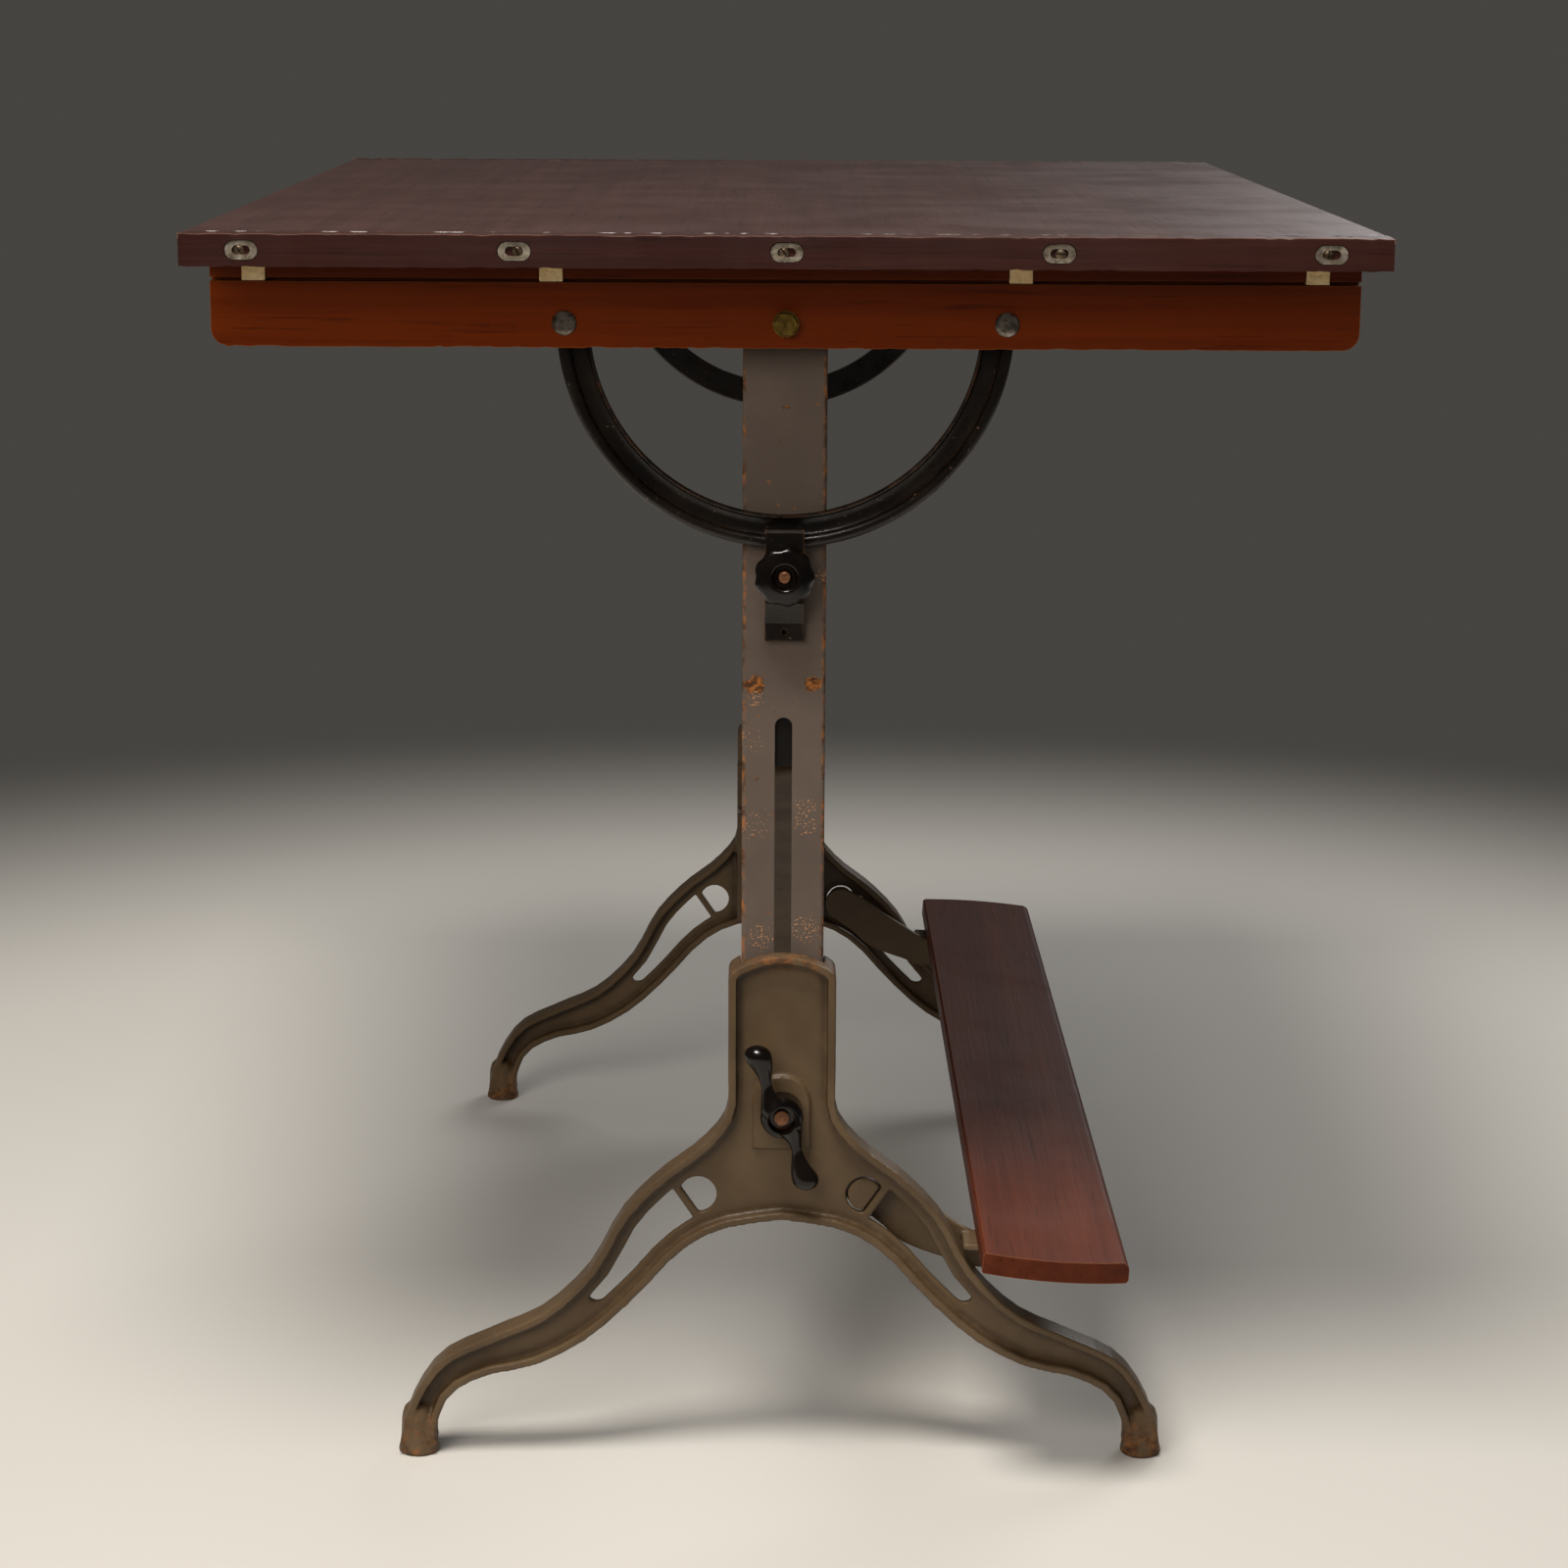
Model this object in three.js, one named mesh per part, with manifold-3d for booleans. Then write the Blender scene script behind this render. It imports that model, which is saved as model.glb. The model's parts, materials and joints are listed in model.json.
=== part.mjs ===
// A cast-iron and wood drafting table: two leg castings, two telescoping channel posts, and a
// tilting board held by two iron half rings. Millimetres, +Z up, the board's length along Y.
// The two ends are alike. Each end is drawn at -Y and measured outwards from the middle of the
// table: "out" is the distance from the middle plane. The other end is turned or mirrored.
import * as THREE from "three";
import { mergeVertices } from "three/addons/utils/BufferGeometryUtils.js";
import Module from "manifold-3d";

const wasm = await Module();
wasm.setup();

// ---------------------------------------------------------------- driving dimensions
const GAP = 0.3; // between pieces that touch
const SLIDE = 0.4; // between the post and what it slides in

const BOARD = { width: 914.4, length: 1219.2, thickness: 25, top: 1020 };
const CLEAT = { width: 32, tongue: 8, reach: 10 };
const POCKET = { count: 5, pitch: 205, length: 26, height: 15.5, depth: 2.4 };
const BATTEN = { length: 892, height: 67, thickness: 22, setback: 80, corner: 14 };
const KERF = { strip: 13.5, width: 3, depth: 12 };
const CLIP = { width: 18, thickness: 1.2, inner: 182, outer: 412, leaf: 16, tongue: 9 };

const PIVOT = { drop: 48, bolt: 9.5, washer: 21, hex: 16, head: 6 };
const ARC = { radius: 180, bead: 10, band: 13.5, lip: 2.5, thin: 6, lug: 14, lugThickness: 8 };
const ARC_BOLT = { diameter: 8, head: 20, dome: 3.5 };

const POST = { width: 67, depth: 25, wall: 4, corner: 3, standoff: 14.6, tail: 27 };
const SLOT = { width: 14, rise: 31.5, topDrop: 319 };
const RAIL = { height: 100, width: 30, wall: 5, drop: 260 };

const STRAP = { width: 31, thickness: 6, drop: 19, above: 35, below: 56, foot: 14, ramp: 18 };
const STUD = { diameter: 9.5, head: 16, headHeight: 6 };
const KNOB = { radius: 24.5, lobes: 9, lobeDepth: 1.4, thickness: 16, hub: 11, recess: 10 };

const LEG = {
  footSpan: 606, // between the centres of the feet
  ankle: 31,
  arch: 208, // height of the arch between the feet
  shoulder: 122, // from the arch to where the column's straight side begins
  column: 88,
  crown: 225, // from the arch to the top of the column
  crownRadius: 70,
  shoulderCorner: 8,
  web: 6.6,
  rim: 6.5,
  rimOut: 10, // how far the rim stands out of the web
  rimDepth: 28,
};
const FOOT = { radius: 17.2, sole: 4, neck: 8, knuckle: 44 };
const EYE = { radius: 15.5, flat: 8, strut: 6.5 };
const WINDOW = { under: 16.5, over: 15 };
const LOCK = { rise: 92.5, bolt: 12.7, boss: 46, bossTop: 29.5, bossFoot: 32.5, bossOut: 4 };
const CLAMP_PLATE = { width: 50, height: 60, thickness: 8 };
const HANDLE = { hub: 17.5, length: 23.5, counterbore: 12, arm: 55, bulb: 10.6, neck: 4.7, lean: 23, clearance: 1.5 };

const KEEPER = { height: 100, thickness: 6, tab: 60, tabWall: 6, below: 16.5 };
const KEEPER_SCREW = { diameter: 5, length: 16, head: 9 };
const STRETCHER = { width: 30, wall: 5 };
const STRETCHER_BOLT = { diameter: 8, hex: 13, head: 6, pitch: 40 };

const REST = { width: 118.6, length: 1160, bow: 10, thickness: 17.5, slope: 4, x: 162.1, z: 188.5 };
const ARM = { thickness: 7.7, end: 17, flange: 39, flangeWall: 5, flangeEnd: 100, stubGap: 1.6 };
const REST_SCREW = { diameter: 4.4, head: 9, headHeight: 3, length: 15, inner: 24, outer: 82 };

// ---------------------------------------------------------------- places worked out from them
const boardUnder = BOARD.top - BOARD.thickness;
const pivotZ = boardUnder - PIVOT.drop;
const battenTop = boardUnder - GAP;
const battenOut = BOARD.length / 2 - BATTEN.setback;
const battenIn = battenOut - BATTEN.thickness;
const kerfTop = battenTop - KERF.strip;

const postOut = battenIn - POST.standoff;
const postWebIn = postOut - POST.wall;
const postIn = postOut - POST.depth;
const lockZ = LEG.arch + LOCK.rise;
const slotBottom = lockZ - LOCK.bolt / 2 - SLOT.rise - GAP;
const slotTop = pivotZ - SLOT.topDrop;
const postBottom = slotBottom - POST.tail;
const railBottom = pivotZ - RAIL.drop - RAIL.height;
const studZ = pivotZ - ARC.radius - STRAP.drop;
const beadOut = battenIn - 2 * GAP;

const webIn = postOut + SLIDE;
const webOut = webIn + LEG.web;
const rimOut = webOut + LEG.rimOut;
const rimIn = rimOut - LEG.rimDepth;
const footOut = rimOut - LEG.rimDepth / 2;
const guideHalf = POST.width / 2 + GAP;
const guideIn = postIn - GAP;
const keeperOut = guideIn - GAP;
const keeperIn = keeperOut - KEEPER.thickness;
const keeperBottom = lockZ - KEEPER.below;
const keeperScrewX = (guideHalf + LEG.column / 2) / 2;
const stretcherX = -STRETCHER.width / 2;
const armOut = rimIn - GAP;
const armIn = armOut - ARM.thickness;

const COLOURS = {
  board: { color: 0x4a2018, roughness: 0.35, metalness: 0 },
  batten: { color: 0x7a3512, roughness: 0.45, metalness: 0 },
  rest: { color: 0x5f2a18, roughness: 0.4, metalness: 0 },
  casting: { color: 0x5c5342, roughness: 0.6, metalness: 0.2 },
  post: { color: 0x6a625a, roughness: 0.6, metalness: 0.2 },
  arc: { color: 0x241c18, roughness: 0.5, metalness: 0.5 },
  handle: { color: 0x120d0c, roughness: 0.2, metalness: 0 },
  steel: { color: 0x6e6a62, roughness: 0.45, metalness: 0.9 },
  brass: { color: 0xb09a5c, roughness: 0.4, metalness: 0.9 },
};

// ---------------------------------------------------------------- solids and booleans
// A closed three.js geometry as a manifold-3d solid.
function solid(geometry) {
  const bare = geometry.index ? geometry.toNonIndexed() : geometry.clone();
  bare.deleteAttribute("normal");
  bare.deleteAttribute("uv");
  const merged = mergeVertices(bare, 1e-4);
  const triVerts = new Uint32Array(merged.index.array);
  const vertProperties = merged.attributes.position.array;
  return new wasm.Manifold(new wasm.Mesh({ numProp: 3, vertProperties, triVerts }));
}

function cut(body, ...tools) {
  return tools.reduce((left, tool) => left.subtract(tool), body);
}

function join(body, ...others) {
  return others.reduce((whole, other) => whole.add(other), body);
}

// A solid back as a three.js geometry.
function geometryOf(body) {
  const mesh = body.getMesh();
  const positions = new Float32Array(mesh.numVert * 3);
  for (let i = 0; i < mesh.numVert; i++) {
    const start = i * mesh.numProp;
    positions.set(mesh.vertProperties.subarray(start, start + 3), i * 3);
  }
  const indexed = new THREE.BufferGeometry();
  indexed.setAttribute("position", new THREE.BufferAttribute(positions, 3));
  indexed.setIndex(new THREE.BufferAttribute(mesh.triVerts, 1));
  const geometry = indexed.toNonIndexed();
  geometry.computeVertexNormals();
  return geometry;
}

// ---------------------------------------------------------------- shapes
function outline(points) {
  return new THREE.Shape(points.map(([x, y]) => new THREE.Vector2(x, y)));
}

function rectangle(x0, x1, y0, y1) {
  return outline([[x0, y0], [x1, y0], [x1, y1], [x0, y1]]);
}

function circle(x, y, radius) {
  return new THREE.Shape().absarc(x, y, radius, 0, 2 * Math.PI);
}

function hexagon(x, y, acrossFlats) {
  const radius = acrossFlats / Math.sqrt(3);
  const corner = (i) => [
    x + radius * Math.cos((i * Math.PI) / 3),
    y + radius * Math.sin((i * Math.PI) / 3),
  ];
  return outline([0, 1, 2, 3, 4, 5].map(corner));
}

// A slot or a stadium, from y0 to y1, with round ends where they are asked for.
function stadium(x, y0, y1, width, roundBottom = true) {
  const r = width / 2;
  const shape = new THREE.Shape();
  shape.absarc(x, y1 - r, r, 0, Math.PI);
  if (roundBottom) {
    shape.absarc(x, y0 + r, r, Math.PI, 2 * Math.PI);
  } else {
    shape.lineTo(x - r, y0);
    shape.lineTo(x + r, y0);
  }
  return shape;
}

// A shape drawn in X and Z, given a thickness along Y between two distances out, at the -Y end.
function plate(shape, inner, outer, curveSegments = 12) {
  const depth = outer - inner;
  const geometry = new THREE.ExtrudeGeometry(shape, { depth, bevelEnabled: false, curveSegments });
  geometry.rotateX(Math.PI / 2);
  geometry.translate(0, -inner, 0);
  return solid(geometry);
}

function round(x, z, diameter, inner, outer, segments = 7) {
  return plate(circle(x, z, diameter / 2), inner, outer, segments);
}

function block(x0, x1, inner, outer, z0, z1) {
  const geometry = new THREE.BoxGeometry(x1 - x0, outer - inner, z1 - z0);
  geometry.translate((x0 + x1) / 2, -(inner + outer) / 2, (z0 + z1) / 2);
  return solid(geometry);
}

// A profile of [out, z] points, given a width along X and centred on x.
function bar(profile, x, width) {
  const geometry = new THREE.ExtrudeGeometry(outline(profile), { depth: width, bevelEnabled: false });
  const turn = new THREE.Matrix4().makeBasis(
    new THREE.Vector3(0, -1, 0),
    new THREE.Vector3(0, 0, 1),
    new THREE.Vector3(-1, 0, 0),
  );
  geometry.applyMatrix4(turn);
  geometry.translate(x + width / 2, 0, 0);
  return solid(geometry);
}

// A profile of [radius, out] points turned about a line along Y through (x, z).
function turned(profile, x, z, segments = 14) {
  const points = profile.map(([radius, out]) => new THREE.Vector2(radius, out));
  const geometry = new THREE.LatheGeometry(points, segments);
  geometry.rotateZ(Math.PI);
  geometry.translate(x, 0, z);
  return solid(geometry);
}

// The points of an outline moved sideways by a distance, to the left of the way it runs.
function inset(points, distance) {
  const leftOf = ([ax, ay], [bx, by]) => {
    const length = Math.hypot(bx - ax, by - ay);
    return [-(by - ay) / length, (bx - ax) / length];
  };
  return points.map((point, i) => {
    const before = leftOf(points.at(i - 1), point);
    const after = leftOf(point, points[(i + 1) % points.length]);
    const scale = distance / (1 + before[0] * after[0] + before[1] * after[1]);
    return [point[0] + scale * (before[0] + after[0]), point[1] + scale * (before[1] + after[1])];
  });
}

const asPairs = (points) => points.map((p) => [p.x, p.y]);
const mirrored = (points) => points.map(([x, y]) => [-x, y]).reverse();

// ---------------------------------------------------------------- the assembly
const table = new THREE.Group();

function material(colour) {
  return new THREE.MeshStandardMaterial(COLOURS[colour]);
}

function put(name, body, colour, parent = table) {
  const mesh = new THREE.Mesh(geometryOf(body), material(colour));
  mesh.name = name;
  parent.add(mesh);
  return mesh;
}

// The same piece at both ends: the back one is the front one turned half round.
function putAtEnds(name, body, colour) {
  put(`${name}_front`, body, colour);
  put(`${name}_back`, body, colour).rotation.z = Math.PI;
}

// A left-hand and a right-hand piece: the back one is the front one mirrored.
function putMirrored(name, body, colour, parent = table) {
  put(`${name}_front`, body, colour, parent);
  put(`${name}_back`, body, colour, parent).scale.y = -1;
}

// ---------------------------------------------------------------- the board
function boardPanel() {
  const half = BOARD.width / 2;
  const end = BOARD.length / 2 - CLEAT.width - GAP;
  const middle = BOARD.top - BOARD.thickness / 2;
  const tongue = CLEAT.tongue / 2;
  const panel = block(-half, half, -end, end, boardUnder, BOARD.top);
  const tongueEnd = end + CLEAT.reach;
  return join(panel, block(-half, half, -tongueEnd, tongueEnd, middle - tongue, middle + tongue));
}

function cleat() {
  const half = BOARD.width / 2;
  const out = BOARD.length / 2;
  const middle = BOARD.top - BOARD.thickness / 2;
  const groove = CLEAT.tongue / 2 + GAP;
  const inner = out - CLEAT.width;
  const body = block(-half, half, inner, out, boardUnder, BOARD.top);
  const tools = [block(-half - 1, half + 1, inner - 1, inner + CLEAT.reach + GAP, middle - groove, middle + groove)];
  for (let i = 0; i < POCKET.count; i++) {
    const x = (i - (POCKET.count - 1) / 2) * POCKET.pitch;
    const straight = (POCKET.length - POCKET.height) / 2;
    const shape = new THREE.Shape();
    shape.absarc(x + straight, middle, POCKET.height / 2, -Math.PI / 2, Math.PI / 2);
    shape.absarc(x - straight, middle, POCKET.height / 2, Math.PI / 2, (3 * Math.PI) / 2);
    tools.push(plate(shape, out - POCKET.depth, out + 1, 8));
  }
  return cut(body, ...tools);
}

function batten() {
  const half = BATTEN.length / 2;
  const bottom = battenTop - BATTEN.height;
  const shape = new THREE.Shape();
  shape.moveTo(half, battenTop);
  shape.lineTo(-half, battenTop);
  shape.absarc(-half + BATTEN.corner, bottom + BATTEN.corner, BATTEN.corner, Math.PI, 1.5 * Math.PI);
  shape.absarc(half - BATTEN.corner, bottom + BATTEN.corner, BATTEN.corner, 1.5 * Math.PI, 2 * Math.PI);
  const body = plate(shape, battenIn, battenOut, 6);
  const kerf = block(-half - 1, half + 1, battenOut - KERF.depth, battenOut + 1, kerfTop - KERF.width, kerfTop);
  const bore = (x, diameter) => round(x, pivotZ, diameter + 2 * GAP, battenIn - 1, battenOut + 1);
  const arcBolts = [-1, 1].map((side) => bore(side * arcBoltX(), ARC_BOLT.diameter));
  return cut(body, kerf, bore(0, PIVOT.bolt), ...arcBolts);
}

// A sheet-metal clip: a leaf under the board, a face down the batten and a tongue in its kerf.
function clip(x) {
  const face = battenOut + GAP;
  const top = boardUnder - GAP;
  const tongueTop = kerfTop - (KERF.width - CLIP.thickness) / 2;
  const t = CLIP.thickness;
  return bar([
    [face - CLIP.tongue, tongueTop - t],
    [face + t, tongueTop - t],
    [face + t, top - t],
    [face + CLIP.leaf, top - t],
    [face + CLIP.leaf, top],
    [face, top],
    [face, tongueTop],
    [face - CLIP.tongue, tongueTop],
  ], x, CLIP.width);
}

// ---------------------------------------------------------------- tilt arc, pivot and clamp
function arcBoltX() {
  return ARC.radius - ARC.bead + 2;
}

// The half ring: an outer bead, a thin band inside it and a raised inner lip.
function tiltArc() {
  const back = postOut + SLIDE;
  const beadInner = ARC.radius - ARC.bead;
  const bandInner = beadInner - ARC.band;
  const lipInner = bandInner - ARC.lip;
  const ring = turned([
    [lipInner, back],
    [ARC.radius - 2, back],
    [ARC.radius, back + 2],
    [ARC.radius, beadOut - 4],
    [ARC.radius - 2, beadOut - 1],
    [ARC.radius - 5, beadOut],
    [beadInner + 2, beadOut - 1],
    [beadInner, beadOut - 4],
    [beadInner, back + ARC.thin],
    [bandInner, back + ARC.thin - 1],
    [bandInner, back + ARC.thin + 2],
    [lipInner, back + ARC.thin + 2],
    [lipInner, back],
  ], 0, pivotZ, 60);
  const over = 2 * ARC.radius;
  const half = ring.intersect(block(-over, over, back - 1, battenIn, pivotZ - over, pivotZ));
  const lugOut = battenIn - GAP;
  const lugIn = lugOut - ARC.lugThickness;
  const lugs = [-1, 1].map((side) => round(side * arcBoltX(), pivotZ, 2 * ARC.lug, lugIn, lugOut));
  const bores = [-1, 1].map((side) =>
    round(side * arcBoltX(), pivotZ, ARC_BOLT.diameter + 2 * GAP, lugIn - 1, lugOut + 1));
  return cut(join(half, ...lugs), ...bores);
}

function arcBolt(x) {
  const seat = battenOut + GAP;
  const end = battenIn - GAP - ARC.lugThickness + 1;
  const r = ARC_BOLT.head / 2;
  return turned([
    [0, end],
    [ARC_BOLT.diameter / 2, end],
    [ARC_BOLT.diameter / 2, seat],
    [r, seat],
    [0.92 * r, seat + 0.45 * ARC_BOLT.dome],
    [0.6 * r, seat + 0.85 * ARC_BOLT.dome],
    [0, seat + ARC_BOLT.dome],
  ], x, pivotZ);
}

const pivotSpacerIn = postOut + GAP;
const pivotNutOut = postWebIn - GAP;
const pivotNutThickness = 8;

function pivotBolt() {
  const seat = battenOut + GAP;
  const end = pivotNutOut - pivotNutThickness - 2;
  const flange = 1.6;
  const shank = round(0, pivotZ, PIVOT.bolt, end, seat + 1);
  const washer = round(0, pivotZ, PIVOT.washer, seat, seat + flange);
  const head = plate(hexagon(0, pivotZ, PIVOT.hex), seat + flange - 0.1, seat + flange + PIVOT.head);
  return join(shank, washer, head);
}

function pivotSpacer() {
  const bore = round(0, pivotZ, PIVOT.bolt + 2 * GAP, pivotSpacerIn - 1, battenIn);
  return cut(round(0, pivotZ, 30, pivotSpacerIn, battenIn - GAP), bore);
}

function pivotNut() {
  const inner = pivotNutOut - pivotNutThickness;
  const bore = round(0, pivotZ, PIVOT.bolt + 2 * GAP, inner - 1, pivotNutOut + 1);
  return cut(plate(hexagon(0, pivotZ, PIVOT.hex), inner, pivotNutOut), bore);
}

// The strap that the knob draws against the arc: a foot on the post, a ramp and a hooked end.
const strapOut = beadOut + GAP + STRAP.thickness;

function clampStrap() {
  const t = STRAP.thickness;
  const footIn = postOut + GAP;
  const plateIn = strapOut - t;
  const bottom = studZ - STRAP.below;
  const rampFoot = bottom + STRAP.foot;
  const rampTop = rampFoot + STRAP.ramp;
  const top = studZ + STRAP.above;
  const hookZ = pivotZ - ARC.radius + ARC.bead + 1.5;
  const profile = [
    [footIn, bottom],
    [footIn + t, bottom],
    [footIn + t, rampFoot],
    [strapOut, rampTop],
    [strapOut, top - 2],
    [strapOut - 2, top],
    [plateIn - 4, top],
    [plateIn - 4, hookZ],
    [plateIn, hookZ],
    [plateIn, rampTop + t / 2],
    [footIn, rampFoot + t / 2],
  ];
  const bore = round(0, studZ, STUD.diameter + 2 * GAP, footIn - 1, strapOut + 1);
  const screwHole = round(0, bottom + STRAP.foot / 2, 4.5, footIn - 1, footIn + t + 1, 8);
  return cut(bar(profile, 0, STRAP.width), bore, screwHole);
}

const knobIn = strapOut + GAP;
const knobFace = knobIn + 4 + KNOB.thickness;

function clampStud() {
  const headOut = postWebIn - GAP;
  const shank = STUD.diameter / 2;
  return turned([
    [0, headOut - STUD.headHeight],
    [STUD.head / 2, headOut - STUD.headHeight],
    [STUD.head / 2, headOut],
    [shank, headOut],
    [shank, knobFace - 1.5],
    [shank - 1, knobFace - 0.5],
    [0, knobFace - 0.5],
  ], 0, studZ);
}

function tiltKnob() {
  const bevel = 3;
  const lobed = [];
  const steps = 4 * KNOB.lobes;
  for (let i = 0; i < steps; i++) {
    const angle = (2 * Math.PI * i) / steps;
    const reach = KNOB.radius - bevel - KNOB.lobeDepth * (1 - Math.abs(Math.cos((KNOB.lobes * angle) / 2)));
    lobed.push([reach * Math.cos(angle), reach * Math.sin(angle)]);
  }
  const geometry = new THREE.ExtrudeGeometry(outline(lobed), {
    depth: KNOB.thickness - 2 * bevel,
    bevelThickness: bevel,
    bevelSize: bevel,
    bevelSegments: 2,
  });
  geometry.rotateX(Math.PI / 2);
  geometry.translate(0, -(knobFace - KNOB.thickness + bevel), studZ);
  const hub = round(0, studZ, 2 * KNOB.hub, knobIn, knobFace - bevel);
  const recess = turned([
    [0, knobFace - 5],
    [KNOB.recess - 3, knobFace - 5],
    [KNOB.recess, knobFace + 1],
    [0, knobFace + 1],
  ], 0, studZ, 24);
  const bore = round(0, studZ, STUD.diameter + 2 * GAP, knobIn - 1, knobFace + 1);
  return cut(join(solid(geometry), hub), recess, bore);
}

// ---------------------------------------------------------------- posts and cross rail
function channelSection(width, depth, wall, corner) {
  const half = width / 2;
  const shape = new THREE.Shape();
  shape.moveTo(-half, depth);
  shape.absarc(-half + corner, corner, corner, Math.PI, 1.5 * Math.PI);
  shape.absarc(half - corner, corner, corner, 1.5 * Math.PI, 2 * Math.PI);
  shape.lineTo(half, depth);
  shape.lineTo(half - wall, depth);
  shape.lineTo(half - wall, wall);
  shape.lineTo(-half + wall, wall);
  shape.lineTo(-half + wall, depth);
  return shape;
}

function post() {
  const section = channelSection(POST.width, POST.depth, POST.wall, POST.corner);
  const top = pivotZ + POST.width / 2;
  const height = top - postBottom;
  const geometry = new THREE.ExtrudeGeometry(section, { depth: height, bevelEnabled: false, curveSegments: 4 });
  geometry.translate(0, -postOut, postBottom);
  const inner = postIn - 1;
  const outer = postOut + 1;
  const roundTop = plate(stadium(0, postBottom - 1, top, POST.width + 0.02, false), inner, outer, 14);
  const slot = plate(stadium(0, slotBottom, slotTop, SLOT.width), postWebIn - 1, outer, 8);
  const pivotBore = round(0, pivotZ, PIVOT.bolt + 2 * GAP, postWebIn - 1, outer);
  const studBore = round(0, studZ, STUD.diameter + 2 * GAP, postWebIn - 1, outer);
  return cut(solid(geometry).intersect(roundTop), slot, pivotBore, studBore);
}

// A channel along Y with its back at x0, open towards +X, between two distances from the middle.
function channelBeam(x0, width, wall, z0, z1, halfLength) {
  const body = block(x0, x0 + width, -halfLength, halfLength, z0, z1);
  return cut(body, block(x0 + wall, x0 + width + 1, -halfLength - 1, halfLength + 1, z0 + wall, z1 - wall));
}

function crossRail() {
  const out = postWebIn - GAP;
  const inner = out - RAIL.wall;
  const top = railBottom + RAIL.height;
  const half = POST.width / 2 - POST.wall - GAP;
  const beam = channelBeam(-RAIL.width / 2, RAIL.width, RAIL.wall, railBottom, top, inner + 1);
  const ends = [block(-half, half, inner, out, railBottom, top), block(-half, half, -out, -inner, railBottom, top)];
  return join(beam, ...ends);
}

// ---------------------------------------------------------------- leg casting
// The leg's upper and lower edges, from the column and the arch's middle to the foot.
function legCurves() {
  const side = LEG.column / 2;
  const outside = LEG.footSpan / 2 + LEG.ankle / 2;
  const inside = LEG.footSpan / 2 - LEG.ankle / 2;
  const shoulder = LEG.arch + LEG.shoulder;
  const upper = [
    [0, 1], [0.007, 0.9], [0.087, 0.817], [0.208, 0.739], [0.324, 0.636], [0.419, 0.494],
    [0.557, 0.382], [0.714, 0.321], [0.871, 0.255], [0.965, 0.139], [1, 0.024],
  ].map(([across, up]) => new THREE.Vector2(side + across * (outside - side), up * shoulder));
  const lower = [
    [0, 1], [0.167, 0.962], [0.292, 0.865], [0.424, 0.668], [0.563, 0.495], [0.713, 0.385],
    [0.852, 0.341], [0.957, 0.26], [1, 0.12], [1, 0.038],
  ].map(([across, up]) => new THREE.Vector2(across * inside, up * LEG.arch));
  return { upper: new THREE.SplineCurve(upper), lower: new THREE.SplineCurve(lower) };
}

// The casting's whole outline, anticlockwise from the middle of the arch.
function castingOutline() {
  const { upper, lower } = legCurves();
  const side = LEG.column / 2;
  const crown = LEG.arch + LEG.crown;
  const corner = side - LEG.shoulderCorner;
  const reach = LEG.crownRadius - LEG.shoulderCorner;
  const half = Math.asin(corner / reach);
  const centreZ = crown - LEG.crownRadius;
  const cornerZ = centreZ + reach * Math.cos(half);
  const right = asPairs(lower.getPoints(20)).slice(1);
  right.push(...asPairs(upper.getPoints(28)).reverse());
  const turn = new THREE.Path().absarc(corner, cornerZ, LEG.shoulderCorner, 0, Math.PI / 2 - half);
  right.push(...asPairs(turn.getPoints(4)));
  const arc = new THREE.Path().absarc(0, centreZ, LEG.crownRadius, Math.PI / 2 - half, Math.PI / 2);
  right.push(...asPairs(arc.getPoints(6)).slice(1));
  return [[0, LEG.arch], ...right, ...mirrored(right).slice(1)];
}

// The eye lies halfway between the two edges, and the strut beside it runs from one to the other.
function eyePlace() {
  const { upper, lower } = legCurves();
  const top = upper.getPoint(0.261);
  const bottom = lower.getPoint(0.117);
  const along = top.clone().sub(bottom).normalize();
  const centre = top.clone().add(bottom).multiplyScalar(0.5);
  return { centre, away: new THREE.Vector2(along.y, -along.x) };
}

// A disc about the eye with a flat side towards the foot.
function eyeDisc(radius, flat, inner, outer, segments = 14) {
  const { centre, away } = eyePlace();
  const start = Math.atan2(away.y, away.x) + Math.acos(flat / radius);
  const sweep = 2 * Math.PI - 2 * Math.acos(flat / radius);
  const shape = new THREE.Shape().absarc(centre.x, centre.y, radius, start, start + sweep);
  return plate(shape, inner, outer, segments);
}

// Points beside a curve, a distance to one side of the way it runs.
function beside(curve, distance, from, to, steps) {
  const points = [];
  for (let i = 0; i <= steps; i++) {
    const t = from + ((to - from) * i) / steps;
    const point = curve.getPoint(t);
    const way = curve.getTangent(t);
    points.push([point.x - distance * way.y, point.y + distance * way.x]);
  }
  return points;
}

// The long window between the strut and the place where the leg narrows.
function windowCutter() {
  const { upper, lower } = legCurves();
  const { centre, away } = eyePlace();
  const above = beside(upper, -WINDOW.under, 0.2, 0.535, 8);
  const below = beside(lower, WINDOW.over, 0.06, 0.38, 8).reverse();
  const shape = outline(above);
  const [endX, endZ] = above.at(-1);
  const [nextX, nextZ] = below[0];
  const bulge = 6.4;
  shape.quadraticCurveTo(
    (endX + nextX) / 2 + bulge * away.x, (endZ + nextZ) / 2 + bulge * away.y, nextX, nextZ);
  below.slice(1).forEach(([x, z]) => shape.lineTo(x, z));
  const band = plate(shape, webIn - 1, webOut + 1, 4);
  const reach = 60;
  const keep = EYE.flat + EYE.strut;
  const corner = (along, across) => [
    centre.x + along * away.x - across * away.y,
    centre.y + along * away.y + across * away.x,
  ];
  const beforeStrut = [corner(-reach, -reach), corner(keep, -reach), corner(keep, reach), corner(-reach, reach)];
  return cut(band, plate(outline(beforeStrut), webIn - 2, webOut + 2));
}

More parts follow.
